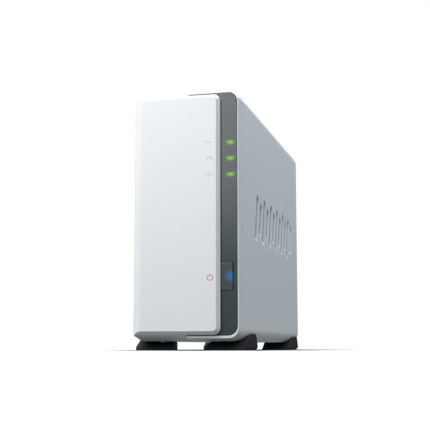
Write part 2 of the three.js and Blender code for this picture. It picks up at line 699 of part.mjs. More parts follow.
place('main_board', mainBoard(), boardGreen);
place('cpu_chip', box([BOARD_FACE, HEATSINK.base[0] - GAP], [27, 49], [46, 68]), chipBlack);
place('heatsink', heatsink(), aluminium);
place('memory_chip_1', box([BOARD_FACE, -27.9], [26, 38], [24, 34]), chipBlack);
place('memory_chip_2', box([BOARD_FACE, -27.9], [42, 54], [24, 34]), chipBlack);
place('capacitor_1', rod('x', 3.2, [60, 20], [BOARD_FACE, -20], 16), aluminium);
place('capacitor_2', rod('x', 3.2, [68, 20], [BOARD_FACE, -20], 16), aluminium);
place('clock_battery', rod('x', 6.2, [80, 26], [BOARD_FACE, -26.6], 24), brassCell);
place('buzzer', rod('x', 4.5, [79, 56], [BOARD_FACE, -23], 20), blackPlastic);
BOARD_SCREWS.forEach(([y, z], i) => {
  place(`board_screw_${i + 1}`, screw('x', [y, z], [-SIDE_X + 1.8, BOARD_FACE]), screwSteel);
});
place('riser_slot', riserSlot(), blackPlastic);
place('sata_riser_board', box(RISER.x, RISER.y, RISER.z), boardGreen);
place('sata_connector', sataConnector(), blackPlastic);
place('drive_bracket', driveBracket(), sheetSteel);
BRACKET_SCREWS.forEach(([y, z], i) => {
  place(`bracket_screw_${i + 1}`, screw('x', [y, z], [-8, BRACKET_X[1] + GAP], 3), screwSteel);
});

place('rear_panel', rearPanel(), darkPlastic);
place('usb_port_lower', usbPort(USB_Z[0]), aluminium);
place('usb_port_upper', usbPort(USB_Z[1]), aluminium);
place('lan_port', lanPort(), aluminium);
place('dc_inlet', dcInlet(), blackPlastic);
place('reset_switch', resetSwitch(), chipBlack);
place('reset_button', rod('y', 1.25, [RESET.x, RESET.z], [102.3, 107.7], 12), blackPlastic);
place('fan_frame', fanFrame(), blackPlastic);
place('fan_rotor', fanRotor(), blackPlastic);
place('fan_shaft', rod('y', 1.5, [FAN.x, FAN.z], [93, 105.6], 12), screwSteel);
place('fan_cable', fanCable(), cableWhite);
fanCorners().forEach(([x, z], i) => {
  place(`fan_screw_${i + 1}`, screw('y', [x, z], [95, PANEL_Y[1] + GAP], 2.6, 1.4), screwSteel);
});
PANEL_SCREWS.forEach(([x, z], i) => {
  place(`rear_panel_screw_${i + 1}`, screw('y', [x, z], [101, PANEL_Y[1] + GAP], 2.6, 1.25), screwSteel);
});
COVER_SCREWS_Z.forEach((z, i) => {
  place(`cover_screw_${i + 1}`, screw('y', [COVER_SCREW_X, z], [103, 110.3], 2.3, 1.5, 1.5), screwSteel);
});

place('foot_front_left', foot(-1, 0, FOOT.frontInner), blackPlastic);
place('foot_front_right', foot(1, 0, FOOT.frontInner), blackPlastic);
place('foot_rear_left', foot(-1, FOOT.shiftToRear, FOOT.rearInner), blackPlastic);
place('foot_rear_right', foot(1, FOOT.shiftToRear, FOOT.rearInner), blackPlastic);

export default enclosure;
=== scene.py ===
# %% [markdown]
# # A one-bay network storage enclosure
# This lesson dresses a slim upright computer case. The moving frame comes from the engineering
# model, so every place below is either read from that frame or is a size in millimetres.
# The visible skins are modelled again here, because the engineering solids are coarse.

# %% Load the frame
import math

import bpy
from mathutils import Matrix, Vector


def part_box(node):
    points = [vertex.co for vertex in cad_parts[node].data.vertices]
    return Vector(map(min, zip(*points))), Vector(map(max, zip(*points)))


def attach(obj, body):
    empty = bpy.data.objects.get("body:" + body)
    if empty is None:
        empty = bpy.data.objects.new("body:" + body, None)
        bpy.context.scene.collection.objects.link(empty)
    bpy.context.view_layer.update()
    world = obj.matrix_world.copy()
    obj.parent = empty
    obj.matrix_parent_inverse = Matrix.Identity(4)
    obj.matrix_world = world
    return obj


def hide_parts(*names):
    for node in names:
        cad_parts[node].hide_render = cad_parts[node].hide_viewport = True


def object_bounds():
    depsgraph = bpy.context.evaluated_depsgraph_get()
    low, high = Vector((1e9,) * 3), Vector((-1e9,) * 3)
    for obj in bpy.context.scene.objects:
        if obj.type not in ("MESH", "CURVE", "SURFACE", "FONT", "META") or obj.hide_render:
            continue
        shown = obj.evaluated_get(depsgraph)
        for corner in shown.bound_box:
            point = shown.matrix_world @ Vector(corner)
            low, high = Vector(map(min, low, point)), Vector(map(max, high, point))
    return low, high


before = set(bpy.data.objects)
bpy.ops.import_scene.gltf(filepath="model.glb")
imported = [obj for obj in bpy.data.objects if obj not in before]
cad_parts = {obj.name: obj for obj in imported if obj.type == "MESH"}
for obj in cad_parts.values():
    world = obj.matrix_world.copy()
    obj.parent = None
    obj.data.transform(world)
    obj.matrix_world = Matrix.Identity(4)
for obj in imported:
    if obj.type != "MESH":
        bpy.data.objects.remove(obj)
cad_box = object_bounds()
bpy.ops.object.select_all(action="DESELECT")
MM = 0.001

# %% [markdown]
# ## Camera
# A long lens just above the table top looks slightly up at the case. Its place and its focal length
# were fitted to the case's edges with the overall sizes taken as given, so they are one good answer
# and not the only one.

# %% Camera
SENSOR = 36.0
LENS = 77.51
CAMERA_PLACE = (0.15994, -0.66987, 0.00255)
CAMERA_TURN = (math.radians(98.074), 0.0, math.radians(14.122))

camera_data = bpy.data.cameras.new("camera")
camera_data.sensor_width = SENSOR
camera_data.lens = LENS
camera_data.clip_start = 0.01
camera_data.clip_end = 50
camera = bpy.data.objects.new("camera", camera_data)
camera.location = CAMERA_PLACE
camera.rotation_euler = CAMERA_TURN
bpy.context.scene.collection.objects.link(camera)
bpy.context.scene.camera = camera
print("camera at", CAMERA_PLACE)

# %% [markdown]
# ## Studio
# A white room with a soft box high on the left. The world gives more light from above than from
# below, as a lit room does: that is what draws the long gradient down glossy upright faces.
# Seen directly, the room is plain white.

# %% Small helpers for colours and nodes
def colour(code, alpha=1.0):
    """An sRGB hex colour as the linear values that shaders use."""
    def linear(part):
        value = int(part, 16) / 255
        return value / 12.92 if value <= 0.04045 else ((value + 0.055) / 1.055) ** 2.4
    return (linear(code[0:2]), linear(code[2:4]), linear(code[4:6]), alpha)


def add_node(tree, kind, settings=None, links=None):
    """Adds one node. Settings name attributes or input sockets; links join input sockets to outputs."""
    node = tree.nodes.new(kind)
    for name, value in (settings or {}).items():
        if name in node.inputs:
            node.inputs[name].default_value = value
        else:
            setattr(node, name, value)
    for name, output in (links or {}).items():
        tree.links.new(output, node.inputs[name])
    return node


# %% [markdown]
# The room is a plain gradient, darker below. The soft boxes are flat area lights on a ring round
# the case: each is named for the side that it serves.

# %% World and lights
WORLD_WHITE = 1.0
ROOM_LOW = (0.205, 0.212, 0.215)
ROOM_HIGH = (0.31, 0.33, 0.35)
world = bpy.data.worlds.new("studio_room")
bpy.context.scene.world = world
world.use_nodes = True
tree = world.node_tree
tree.nodes.clear()
direction = add_node(tree, "ShaderNodeTexCoord")
split = add_node(tree, "ShaderNodeSeparateXYZ", links={"Vector": direction.outputs["Generated"]})
height = add_node(tree, "ShaderNodeMapRange", {"From Min": -0.06, "From Max": 0.75, "To Min": 0.0,
                  "To Max": 1.0}, {"Value": split.outputs["Z"]})
ramp = add_node(tree, "ShaderNodeValToRGB", links={"Fac": height.outputs["Result"]})
ramp.color_ramp.elements[0].color = (*ROOM_LOW, 1)
ramp.color_ramp.elements[1].color = (*ROOM_HIGH, 1)
room = add_node(tree, "ShaderNodeBackground", {"Strength": 1.0}, {"Color": ramp.outputs["Color"]})
plain = add_node(tree, "ShaderNodeBackground", {"Color": (1, 1, 1, 1), "Strength": WORLD_WHITE})
path = add_node(tree, "ShaderNodeLightPath")
mix = add_node(tree, "ShaderNodeMixShader", links={"Fac": path.outputs["Is Camera Ray"]})
tree.links.new(room.outputs["Background"], mix.inputs[1])
tree.links.new(plain.outputs["Background"], mix.inputs[2])
add_node(tree, "ShaderNodeOutputWorld", links={"Surface": mix.outputs["Shader"]})


case_low, case_high = cad_box
case_middle = (Vector(case_low) + Vector(case_high)) / 2


def soft_box(name, azimuth, elevation, distance, size, radiance, tint=(1, 1, 1)):
    """A soft box that looks at the case. Azimuth 0 is straight in front and positive to the right."""
    turn, lift = math.radians(azimuth), math.radians(elevation)
    away = Vector((math.sin(turn) * math.cos(lift), -math.cos(turn) * math.cos(lift), math.sin(lift)))
    data = bpy.data.lights.new(name, "AREA")
    data.shape = "RECTANGLE"
    data.size, data.size_y = size
    data.energy = math.pi * size[0] * size[1] * radiance
    data.color = tint
    box_light = bpy.data.objects.new(name, data)
    box_light.location = case_middle + away * distance
    box_light.rotation_euler = (-away).to_track_quat("-Z", "Y").to_euler()
    bpy.context.scene.collection.objects.link(box_light)
    return box_light


soft_box("key_box", -50, 50, 0.72, (0.70, 0.70), 4.4, (1.0, 0.985, 0.97))
soft_box("strip_box", -17, 26, 1.5, (0.36, 1.0), 5.2, (0.98, 1.0, 1.0))
soft_box("corner_box", 48, 42, 0.85, (0.45, 0.45), 2.0, (0.90, 0.97, 1.0))
soft_box("side_box", 100, 54, 0.75, (0.55, 0.55), 2.3, (0.79, 0.92, 1.0))
soft_box("top_box", 0, 82, 1.0, (0.8, 0.8), 0.6)
soft_box("back_box", 180, 40, 0.95, (0.8, 0.5), 2.4)
bpy.context.scene.view_settings.view_transform = "Standard"
print("studio ready")

# %% [markdown]
# The floor is a sheet of pale paper. Close to the case it darkens where the case hides the room
# from it, which gives the soft contact shadow; far away it glows up to the white of the room.

# %% Floor
PAPER, SHADE = colour("EEEEEE"), colour("202224")
SHADOW_REACH, SHADOW_POWER = 0.06, 4.0
GLOW_FROM, GLOW_TO = 0.55, 1.3
bpy.ops.mesh.primitive_plane_add(size=8, location=(0, 0, -0.0001))
floor = bpy.context.object
floor.name = "studio_floor"
paper = bpy.data.materials.new("white_paper_floor")
paper.use_nodes = True
tree = paper.node_tree
shader = tree.nodes["Principled BSDF"]
shader.inputs["Roughness"].default_value = 1.0
shader.inputs["Specular IOR Level"].default_value = 0.0
shader.inputs["Emission Color"].default_value = (1, 1, 1, 1)
spot = add_node(tree, "ShaderNodeTexCoord")
open_sky = add_node(tree, "ShaderNodeAmbientOcclusion", {"samples": 24})
open_sky.inputs["Distance"].default_value = SHADOW_REACH
deep = add_node(tree, "ShaderNodeMath", {"operation": "POWER"})
tree.links.new(open_sky.outputs["AO"], deep.inputs[0])
deep.inputs[1].default_value = SHADOW_POWER
tone = add_node(tree, "ShaderNodeMix", {"data_type": "RGBA"}, {"Factor": deep.outputs["Value"]})
tone.inputs[6].default_value = SHADE
tone.inputs[7].default_value = PAPER
tree.links.new(tone.outputs[2], shader.inputs["Base Color"])
radius = add_node(tree, "ShaderNodeVectorMath", {"operation": "LENGTH"})
tree.links.new(spot.outputs["Object"], radius.inputs[0])
glow = add_node(tree, "ShaderNodeMapRange", {"From Min": GLOW_FROM, "From Max": GLOW_TO},
                {"Value": radius.outputs["Value"]})
tree.links.new(glow.outputs["Result"], shader.inputs["Emission Strength"])
floor.data.materials.append(paper)
floor.visible_diffuse = False
floor.visible_glossy = False
print("floor laid")

# %% [markdown]
# ## Workshop helpers
# Each helper is one hand move: start a block, pick edges, round them, slice, carve, soften.
# Sizes are in millimetres, as on a drawing.

# %% Block, pick, round, slice, carve, soften
def activate(piece):
    bpy.ops.object.select_all(action="DESELECT")
    piece.select_set(True)
    bpy.context.view_layer.objects.active = piece


def block(name, low, high):
    """A box between two corners, with its size and place already in its mesh."""
    bpy.ops.object.select_all(action="DESELECT")
    bpy.ops.mesh.primitive_cube_add(size=1, location=[(a + b) / 2 * MM for a, b in zip(low, high)])
    piece = bpy.context.object
    piece.name = name
    piece.scale = [(b - a) * MM for a, b in zip(low, high)]
    bpy.ops.object.transform_apply(location=True, rotation=True, scale=True)
    return piece


def tube_blank(name, axis, radius, centre, span, sides=32, radius_end=None):
    """A round bar or taper along one axis; centre holds the other two coordinates."""
    bpy.ops.object.select_all(action="DESELECT")
    turn = {"x": (0, math.pi / 2, 0), "y": (-math.pi / 2, 0, 0), "z": (0, 0, 0)}[axis]
    place = [0.0, 0.0, 0.0]
    place["xyz".index(axis)] = (span[0] + span[1]) / 2 * MM
    others = [i for i in range(3) if i != "xyz".index(axis)]
    for i, value in zip(others, centre):
        place[i] = value * MM
    bpy.ops.mesh.primitive_cone_add(
        vertices=sides, radius1=radius * MM, radius2=(radius if radius_end is None else radius_end) * MM,
        depth=(span[1] - span[0]) * MM, location=place, rotation=turn)
    piece = bpy.context.object
    piece.name = name
    bpy.ops.object.transform_apply(location=True, rotation=True, scale=True)
    return piece


def pick_edges(piece, test):
    """Selects, in edit mode, the edges whose two ends (in mm) pass the test."""
    activate(piece)
    bpy.ops.object.mode_set(mode="EDIT")
    bpy.ops.mesh.select_mode(type="EDGE")
    bpy.ops.mesh.select_all(action="DESELECT")
    bpy.ops.object.mode_set(mode="OBJECT")
    for edge in piece.data.edges:
        a, b = (piece.data.vertices[v].co / MM for v in edge.vertices)
        edge.select = test(a, b)
    bpy.ops.object.mode_set(mode="EDIT")


def pick_faces(piece, test):
    """Selects, in edit mode, the faces whose centre (in mm) and normal pass the test."""
    activate(piece)
    bpy.ops.object.mode_set(mode="EDIT")
    bpy.ops.mesh.select_mode(type="FACE")
    bpy.ops.mesh.select_all(action="DESELECT")
    bpy.ops.object.mode_set(mode="OBJECT")
    for face in piece.data.polygons:
        face.select = test(face.center / MM, face.normal)
    bpy.ops.object.mode_set(mode="EDIT")


def leave_edit():
    bpy.ops.object.mode_set(mode="OBJECT")


def along(axis):
    """A test for edges that run along one axis."""
    i = "xyz".index(axis)
    return lambda a, b: abs((b - a)[i]) > 0.98 * (b - a).length and (b - a).length > 0


def round_edges(piece, test, radius, segments=8):
    pick_edges(piece, test)
    bpy.ops.mesh.bevel(offset=radius * MM, segments=segments, profile=0.5, affect="EDGES")
    leave_edit()


def slice_off(piece, point, normal):
    """Cuts away what lies on the side that the normal points to, and closes the cut."""
    activate(piece)
    bpy.ops.object.mode_set(mode="EDIT")
    bpy.ops.mesh.select_all(action="SELECT")
    bpy.ops.mesh.bisect(plane_co=[v * MM for v in point], plane_no=normal,
                        use_fill=True, clear_outer=True)
    leave_edit()


def carve(piece, tool, how="DIFFERENCE"):
    activate(piece)
    step = piece.modifiers.new("carve", "BOOLEAN")
    step.operation = how
    step.solver = "EXACT"
    step.object = tool
    bpy.ops.object.modifier_apply(modifier=step.name)
    bpy.data.objects.remove(tool, do_unlink=True)


def join(pieces):
    bpy.ops.object.select_all(action="DESELECT")
    for piece in pieces:
        piece.select_set(True)
    bpy.context.view_layer.objects.active = pieces[0]
    bpy.ops.object.join()
    return pieces[0]


def soften(piece, width, segments=2, angle=28, smooth=35, skip=None):
    """Breaks the sharp edges by a small radius, except where skip says so, and shades the flats flat."""
    activate(piece)
    if width > 0:
        bpy.ops.object.mode_set(mode="EDIT")
        bpy.ops.mesh.select_mode(type="EDGE")
        bpy.ops.mesh.select_all(action="SELECT")
        bpy.ops.mesh.remove_doubles(threshold=0.01 * MM)
        bpy.ops.mesh.dissolve_limited(angle_limit=math.radians(0.5))
        bpy.ops.mesh.select_all(action="DESELECT")
        bpy.ops.mesh.edges_select_sharp(sharpness=math.radians(angle))
        bpy.ops.object.mode_set(mode="OBJECT")
        for edge in piece.data.edges:
            if edge.select and skip and skip(*(piece.data.vertices[v].co / MM for v in edge.vertices)):
                edge.select = False
        bpy.ops.object.mode_set(mode="EDIT")
        bpy.ops.mesh.bevel(offset=width * MM, segments=segments, profile=0.5, affect="EDGES",
                           clamp_overlap=False, miter_outer="ARC")
        bpy.ops.object.mode_set(mode="OBJECT")
    bpy.ops.object.shade_smooth_by_angle(angle=math.radians(smooth))
    step = piece.modifiers.new("flats", "WEIGHTED_NORMAL")
    step.keep_sharp = True
    step.weight = 90
    bpy.ops.object.modifier_apply(modifier=step.name)


def dress(piece, body, finish, slot, *nodes):
    """Gives a finished piece its material, its body and the nodes it stands for. The slot is not used.
    """
    piece.data.materials.clear()
    piece.data.materials.append(finish)
    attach(piece, body)
    if nodes:
        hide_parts(*nodes)
    print(f"{piece.name}: {len(piece.data.polygons)} faces")
    return piece


print("helpers ready")

# %% [markdown]
# ## Finishes
# Moulded ABS is the main one. A mould spark-eroded to a fine texture leaves a soft grain that
# breaks up reflections; a polished mould leaves a satin skin that still waves a little.

# %% Plastic finishes
def finish_of(name):
    """A new material with its shader node."""
    material = bpy.data.materials.new(name)
    material.use_nodes = True
    return material, material.node_tree, material.node_tree.nodes["Principled BSDF"]


def set_shader(shader, **values):
    for name, value in values.items():
        shader.inputs[name.replace("_", " ")].default_value = value


def moulded_plastic(name, base, tint, roughness, grain_mm, grain_depth, spread=0.05, specular=0.5):
    """Injection moulded plastic: a nearly even colour, a fine grain and a slightly uneven gloss."""
    material, tree, shader = finish_of(name)
    set_shader(shader, IOR=1.53, Specular_IOR_Level=specular)
    place = add_node(tree, "ShaderNodeTexCoord")
    cloud = add_node(tree, "ShaderNodeTexNoise", {"Scale": 28.0, "Detail": 3.0},
                     {"Vector": place.outputs["Object"]})
    shade = add_node(tree, "ShaderNodeMix", {"data_type": "RGBA"}, {"Factor": cloud.outputs["Fac"]})
    shade.inputs[6].default_value = colour(base)
    shade.inputs[7].default_value = colour(tint)
    tree.links.new(shade.outputs[2], shader.inputs["Base Color"])
    gloss = add_node(tree, "ShaderNodeMapRange",
                     {"To Min": roughness - spread, "To Max": roughness + spread},
                     {"Value": cloud.outputs["Fac"]})
    tree.links.new(gloss.outputs["Result"], shader.inputs["Roughness"])
    grain = add_node(tree, "ShaderNodeTexNoise", {"Scale": 1 / (grain_mm * MM), "Detail": 2.0},
                     {"Vector": place.outputs["Object"]})
    bump = add_node(tree, "ShaderNodeBump", {"Strength": 0.35, "Distance": grain_depth * MM},
                    {"Height": grain.outputs["Fac"]})
    tree.links.new(bump.outputs["Normal"], shader.inputs["Normal"])
    return material


white_abs = moulded_plastic("white_satin_abs", "E4E7E9", "E8EAEC", 0.40, 0.6, 0.010)
grey_abs = moulded_plastic("dark_grey_satin_abs", "364043", "3A4447", 0.22, 0.5, 0.006, 0.03)
button_abs = moulded_plastic("dark_grey_satin_button", "3B4548", "3F494C", 0.24, 0.5, 0.006, 0.03)
black_abs = moulded_plastic("black_textured_abs", "17191A", "1B1D1E", 0.55, 0.5, 0.03)
panel_abs = moulded_plastic("grey_textured_abs", "5B6063", "606568", 0.5, 0.5, 0.03)
foot_rubber = moulded_plastic("black_foot_rubber", "1F2021", "252627", 0.7, 0.7, 0.03, specular=0.16)
print("plastics mixed")

# %% [markdown]
# Plated sheet and turned parts differ in the size of their patches and in the brush marks. The
# circuit board is green mask over copper tracks.

# %% Metal, board and cable finishes
def metal(name, base, tint, roughness, patch_mm, brush_mm=0.0, spread=0.08):
    """Bare or plated metal. Patches shift the gloss; a brushed one also carries fine long lines."""
    material, tree, shader = finish_of(name)
    set_shader(shader, Metallic=1.0)
    place = add_node(tree, "ShaderNodeTexCoord")
    patches = add_node(tree, "ShaderNodeTexVoronoi", {"Scale": 1 / (patch_mm * MM)},
                       {"Vector": place.outputs["Object"]})
    grey = add_node(tree, "ShaderNodeSeparateXYZ", links={"Vector": patches.outputs["Color"]})
    shade = add_node(tree, "ShaderNodeMix", {"data_type": "RGBA"}, {"Factor": grey.outputs["X"]})
    shade.inputs[6].default_value = colour(base)
    shade.inputs[7].default_value = colour(tint)
    tree.links.new(shade.outputs[2], shader.inputs["Base Color"])
    gloss = add_node(tree, "ShaderNodeMapRange",
                     {"To Min": roughness - spread, "To Max": roughness + spread},
                     {"Value": grey.outputs["Y"]})
    tree.links.new(gloss.outputs["Result"], shader.inputs["Roughness"])
    if brush_mm:
        stretch = add_node(tree, "ShaderNodeMapping", {"Scale": (1.0, 0.02, 1.0)},
                           {"Vector": place.outputs["Object"]})
        lines = add_node(tree, "ShaderNodeTexNoise", {"Scale": 1 / (brush_mm * MM), "Detail": 1.0},
                         {"Vector": stretch.outputs["Vector"]})
        bump = add_node(tree, "ShaderNodeBump", {"Strength": 0.3, "Distance": 0.02 * MM},
                        {"Height": lines.outputs["Fac"]})
        tree.links.new(bump.outputs["Normal"], shader.inputs["Normal"])
    return material


zinc = metal("zinc_plated_screw", "B4B7B9", "C6C9CC", 0.28, 1.5)
galvanised = metal("galvanised_sheet", "A9AEB1", "C2C6C8", 0.38, 5.0)
aluminium = metal("extruded_aluminium", "C9CCCE", "D4D6D8", 0.34, 8.0, brush_mm=0.3)
nickel = metal("nickel_plated_shell", "BDBFC0", "CBCDCE", 0.24, 3.0, brush_mm=0.25)
gold = metal("gold_plated_contact", "D9B25A", "E3C06C", 0.25, 1.0)
cell_steel = metal("battery_steel", "C4C5C3", "D2D3D1", 0.20, 4.0, brush_mm=0.2)


def printed_board(name):
    """Green solder mask over copper: tracks show as slightly lighter lines that stand up a little."""
    material, tree, shader = finish_of(name)
    set_shader(shader, Roughness=0.32, IOR=1.5)
    place = add_node(tree, "ShaderNodeTexCoord")
    tracks = add_node(tree, "ShaderNodeTexBrick", {"Scale": 1 / (3.2 * MM), "Mortar Size": 0.09,
                      "Brick Width": 2.6, "Row Height": 0.55, "offset": 0.37})
    turned = add_node(tree, "ShaderNodeMapping", {"Rotation": (0, math.radians(90), 0)},
                      {"Vector": place.outputs["Object"]})
    tree.links.new(turned.outputs["Vector"], tracks.inputs["Vector"])
    shade = add_node(tree, "ShaderNodeMix", {"data_type": "RGBA"}, {"Factor": tracks.outputs["Fac"]})
    shade.inputs[6].default_value = colour("14502F")
    shade.inputs[7].default_value = colour("2B7A4C")
    tree.links.new(shade.outputs[2], shader.inputs["Base Color"])
    bump = add_node(tree, "ShaderNodeBump", {"Strength": 0.4, "Distance": 0.03 * MM},
                    {"Height": tracks.outputs["Fac"]})
    tree.links.new(bump.outputs["Normal"], shader.inputs["Normal"])
    return material


board_green = printed_board("green_solder_mask")
chip_resin = moulded_plastic("black_chip_resin", "1D1E20", "222325", 0.5, 0.12, 0.006)
white_pvc = moulded_plastic("white_cable_pvc", "DADAD4", "E2E2DC", 0.45, 0.8, 0.004)
print("metals and boards ready")

# %% [markdown]
# A lit window is clear plastic with a lamp behind its middle. The light also spills a little on
# the satin plastic round it, which is what makes a small lamp look bright.

# %% Lit windows
LIGHT_X, LIGHT_Y = 28.7, -108.0
LIGHTS_Z = (110.6, 120.95, 131.3)
LAMP_X, LAMP_Y, LAMP_Z = 28.6, -108.3, 46.0


def lit_plastic(name, base, glow, middle_x, reach, bright, dim):
    """A clear light pipe with a lamp behind its middle: the glow fades towards its two ends."""
    material, tree, shader = finish_of(name)
    set_shader(shader, Roughness=0.25, IOR=1.49)
    shader.inputs["Base Color"].default_value = colour(base)
    shader.inputs["Emission Color"].default_value = colour(glow)
    place = add_node(tree, "ShaderNodeTexCoord")
    split = add_node(tree, "ShaderNodeSeparateXYZ", links={"Vector": place.outputs["Object"]})
    shift = add_node(tree, "ShaderNodeMath", {"operation": "SUBTRACT"})
    tree.links.new(split.outputs["X"], shift.inputs[0])
    shift.inputs[1].default_value = middle_x * MM
    far = add_node(tree, "ShaderNodeMath", {"operation": "ABSOLUTE"})
    tree.links.new(shift.outputs["Value"], far.inputs[0])
    fade = add_node(tree, "ShaderNodeMapRange",
                    {"From Min": 0.0, "From Max": reach * MM, "To Min": bright, "To Max": dim,
                     "interpolation_type": "SMOOTHSTEP"}, {"Value": far.outputs["Value"]})
    tree.links.new(fade.outputs["Result"], shader.inputs["Emission Strength"])
    return material


green_lit = lit_plastic("lit_green_light_pipe", "567F1E", "88CC14", LIGHT_X, 2.9, 0.44, 0.12)
blue_lit = lit_plastic("lit_blue_light_pipe", "1C4C78", "2F8FE0", LAMP_X, 1.4, 0.38, 0.10)


def spill(material, centres, reach_mm, squeeze_x, glow, strength):
    """Light that a lamp throws on the satin plastic round its window, fading with distance."""
    tree = material.node_tree
    shader = tree.nodes["Principled BSDF"]
    shader.inputs["Emission Color"].default_value = colour(glow)
    place = add_node(tree, "ShaderNodeTexCoord")
    total = None
    for centre in centres:
        shift = add_node(tree, "ShaderNodeVectorMath", {"operation": "SUBTRACT"})
        tree.links.new(place.outputs["Object"], shift.inputs[0])
        shift.inputs[1].default_value = [v * MM for v in centre]
        flat = add_node(tree, "ShaderNodeVectorMath", {"operation": "MULTIPLY"})
        tree.links.new(shift.outputs["Vector"], flat.inputs[0])
        flat.inputs[1].default_value = (squeeze_x, 1.0, 1.0)
        far = add_node(tree, "ShaderNodeVectorMath", {"operation": "LENGTH"})
        tree.links.new(flat.outputs["Vector"], far.inputs[0])
        fade = add_node(tree, "ShaderNodeMapRange",
                        {"From Min": 0.0, "From Max": reach_mm * MM, "To Min": strength, "To Max": 0.0,
                         "interpolation_type": "SMOOTHSTEP"}, {"Value": far.outputs["Value"]})
        if total is None:
            total = fade.outputs["Result"]
            continue
        both = add_node(tree, "ShaderNodeMath", {"operation": "ADD"})
        tree.links.new(total, both.inputs[0])
        tree.links.new(fade.outputs["Result"], both.inputs[1])
        total = both.outputs["Value"]
    tree.links.new(total, shader.inputs["Emission Strength"])


spill(grey_abs, [(LIGHT_X, LIGHT_Y, z) for z in LIGHTS_Z], 3.0, 0.6, "88CC14", 0.24)
spill(button_abs, [(LAMP_X, LAMP_Y, LAMP_Z)], 4.6, 1.0, "1F78D8", 0.42)
print("lamps lit")

# %% [markdown]
# ## Left half of the case, with the front plate
# The left half and the white front plate are one moulding. Its outline is the meeting of three
# simple outlines: from above it has one big rounded corner, from the front it has the rounded
# case corners, and from the side its front edges are bevelled in two straight steps.

# %% Case sizes
SIDE = 35.5
FRONT = -112.0
REAR = 112.0
TOP = 166.0
GAP_BELOW = 5.7
CORNER = 8.0
LOWER_CHAMFER = 4.5
WALL = 2.2
PARTING = 0.3
SEAM = 0.12
FACE_LOW, FACE_HIGH = 11.84, 160.9
PLATE_LOW, PLATE_HIGH, PLATE_RIGHT = 9.6, 162.8, 22.4
BEVEL_Y, PLATE_BACK = -109.6, -108.7
CREASE_Y, RIM_Y = -101.7, -108.0
PLAN_CORNER = 7.0


def edge_plane(a, b, inset):
    """The plane through a line along X, from (y, z) a to b, facing outwards and moved in by inset."""
    (ay, az), (by, bz) = a, b
    normal = Vector((0, bz - az, ay - by)).normalized()
    if normal.y > 0:
        normal = -normal
    point = Vector((0, ay, az)) - normal * inset
    return point, normal


long_y = along("y")
HALF_WAY_UP = TOP / 2


def shape_case_corners(piece, inset, left_only=False):
    """Rounds the long edges of a case block, and chamfers the lower left one."""
    def is_round(a, b):
        if not long_y(a, b):
            return False
        if left_only:
            return a.x < 0 and a.z > HALF_WAY_UP
        return a.x > 0 or a.z > HALF_WAY_UP
    round_edges(piece, is_round, CORNER - inset, 10)
    chamfer = LOWER_CHAMFER - inset * (2 - math.sqrt(2))
    round_edges(piece, lambda a, b: long_y(a, b) and a.x < 0 and a.z < HALF_WAY_UP, chamfer, 1)


def left_form(name, x_high, inset, y_high):
    """The left half's outer form, or with an inset its inner one."""
    low = (-SIDE + inset, FRONT + inset, GAP_BELOW + inset)
    form = block(name, low, (x_high, y_high, TOP - inset))
    shape_case_corners(form, inset, left_only=True)
    plan = block("plan_tool", (low[0], low[1], -10), (x_high + 20, y_high + 20, TOP + 20))
    upright = along("z")
    round_edges(plan, lambda a, b: upright(a, b) and a.x < 0 and a.y < 0, PLAN_CORNER - inset, 12)
    carve(form, plan, "INTERSECT")
    for a, b in (((FRONT, FACE_LOW), (BEVEL_Y, PLATE_LOW)),
                 ((BEVEL_Y, PLATE_LOW), (CREASE_Y, GAP_BELOW)),
                 ((FRONT, FACE_HIGH), (BEVEL_Y, PLATE_HIGH)),
                 ((BEVEL_Y, PLATE_HIGH), (CREASE_Y, TOP))):
        point, normal = edge_plane(a, b, inset)
        slice_off(form, point, normal)
    return form


left = left_form("left_case_half", PARTING - SEAM, 0.0, REAR)
carve(left, left_form("hollow_tool", SIDE, WALL, REAR + 5))
print("left half:", len(left.data.polygons), "faces")

# %% [markdown]
# The plate reaches past the parting line, over the dark strip. It is a thin slab whose edges are
# drawn in towards the front by one inset with depth, as the mould's draft does.

# %% The plate's overhang
PLATE_CORNER = 4.5
plate = block("plate_overhang", (-8, BEVEL_Y, PLATE_LOW), (PLATE_RIGHT, PLATE_BACK, PLATE_HIGH))
round_edges(plate, lambda a, b: long_y(a, b) and a.x > 0, PLATE_CORNER, 8)
PLATE_STEP = FACE_LOW - PLATE_LOW
pick_faces(plate, lambda centre, normal: normal.y < -0.9)
bpy.ops.mesh.inset(thickness=PLATE_STEP * MM, depth=(BEVEL_Y - FRONT) * MM)
leave_edit()
for vertex in plate.data.vertices:
    if vertex.co.y < (FRONT + 0.1) * MM and vertex.co.z > 0.1:
        vertex.co.z -= (PLATE_HIGH - PLATE_STEP - FACE_HIGH) * MM
carve(left, plate, "UNION")
print("plate joined:", len(left.data.polygons), "faces")

# %% [markdown]
# The side wall is pierced by a slanted row of air slots, long and short in turn. One rounded
# cutter is shaped and copied along the wall, so every slot has the same ends.

# %% Air slots
SLOT_PITCH, SLOT_COUNT, SLOT_START = 12.4, 12, -58.0
SLOT_LOW, SLOT_HIGH, SLOT_SHORT, SLOT_HALF = 73.0, 105.0, 9.0, 3.4
SLOT_SLANT = 0.25
SLOT_RIM = 1.1


def slot_cutters(x_low, x_high):
    tools = []
    for i in range(SLOT_COUNT):
        reach = (SLOT_HIGH - SLOT_LOW) / 2 - (i % 2) * SLOT_SHORT / 2
        tool = block(f"slot_tool_{i}", (x_low, -SLOT_HALF, -reach), (x_high, SLOT_HALF, reach))
        round_edges(tool, along("x"), SLOT_HALF - 0.02, 8)
        tool.data.transform(Matrix.Rotation(-SLOT_SLANT, 4, "X"))
        middle = (SLOT_LOW + SLOT_HIGH) / 2
        tool.data.transform(Matrix.Translation((0, (SLOT_START + i * SLOT_PITCH) * MM, middle * MM)))
        tools.append(tool)
    return join(tools)


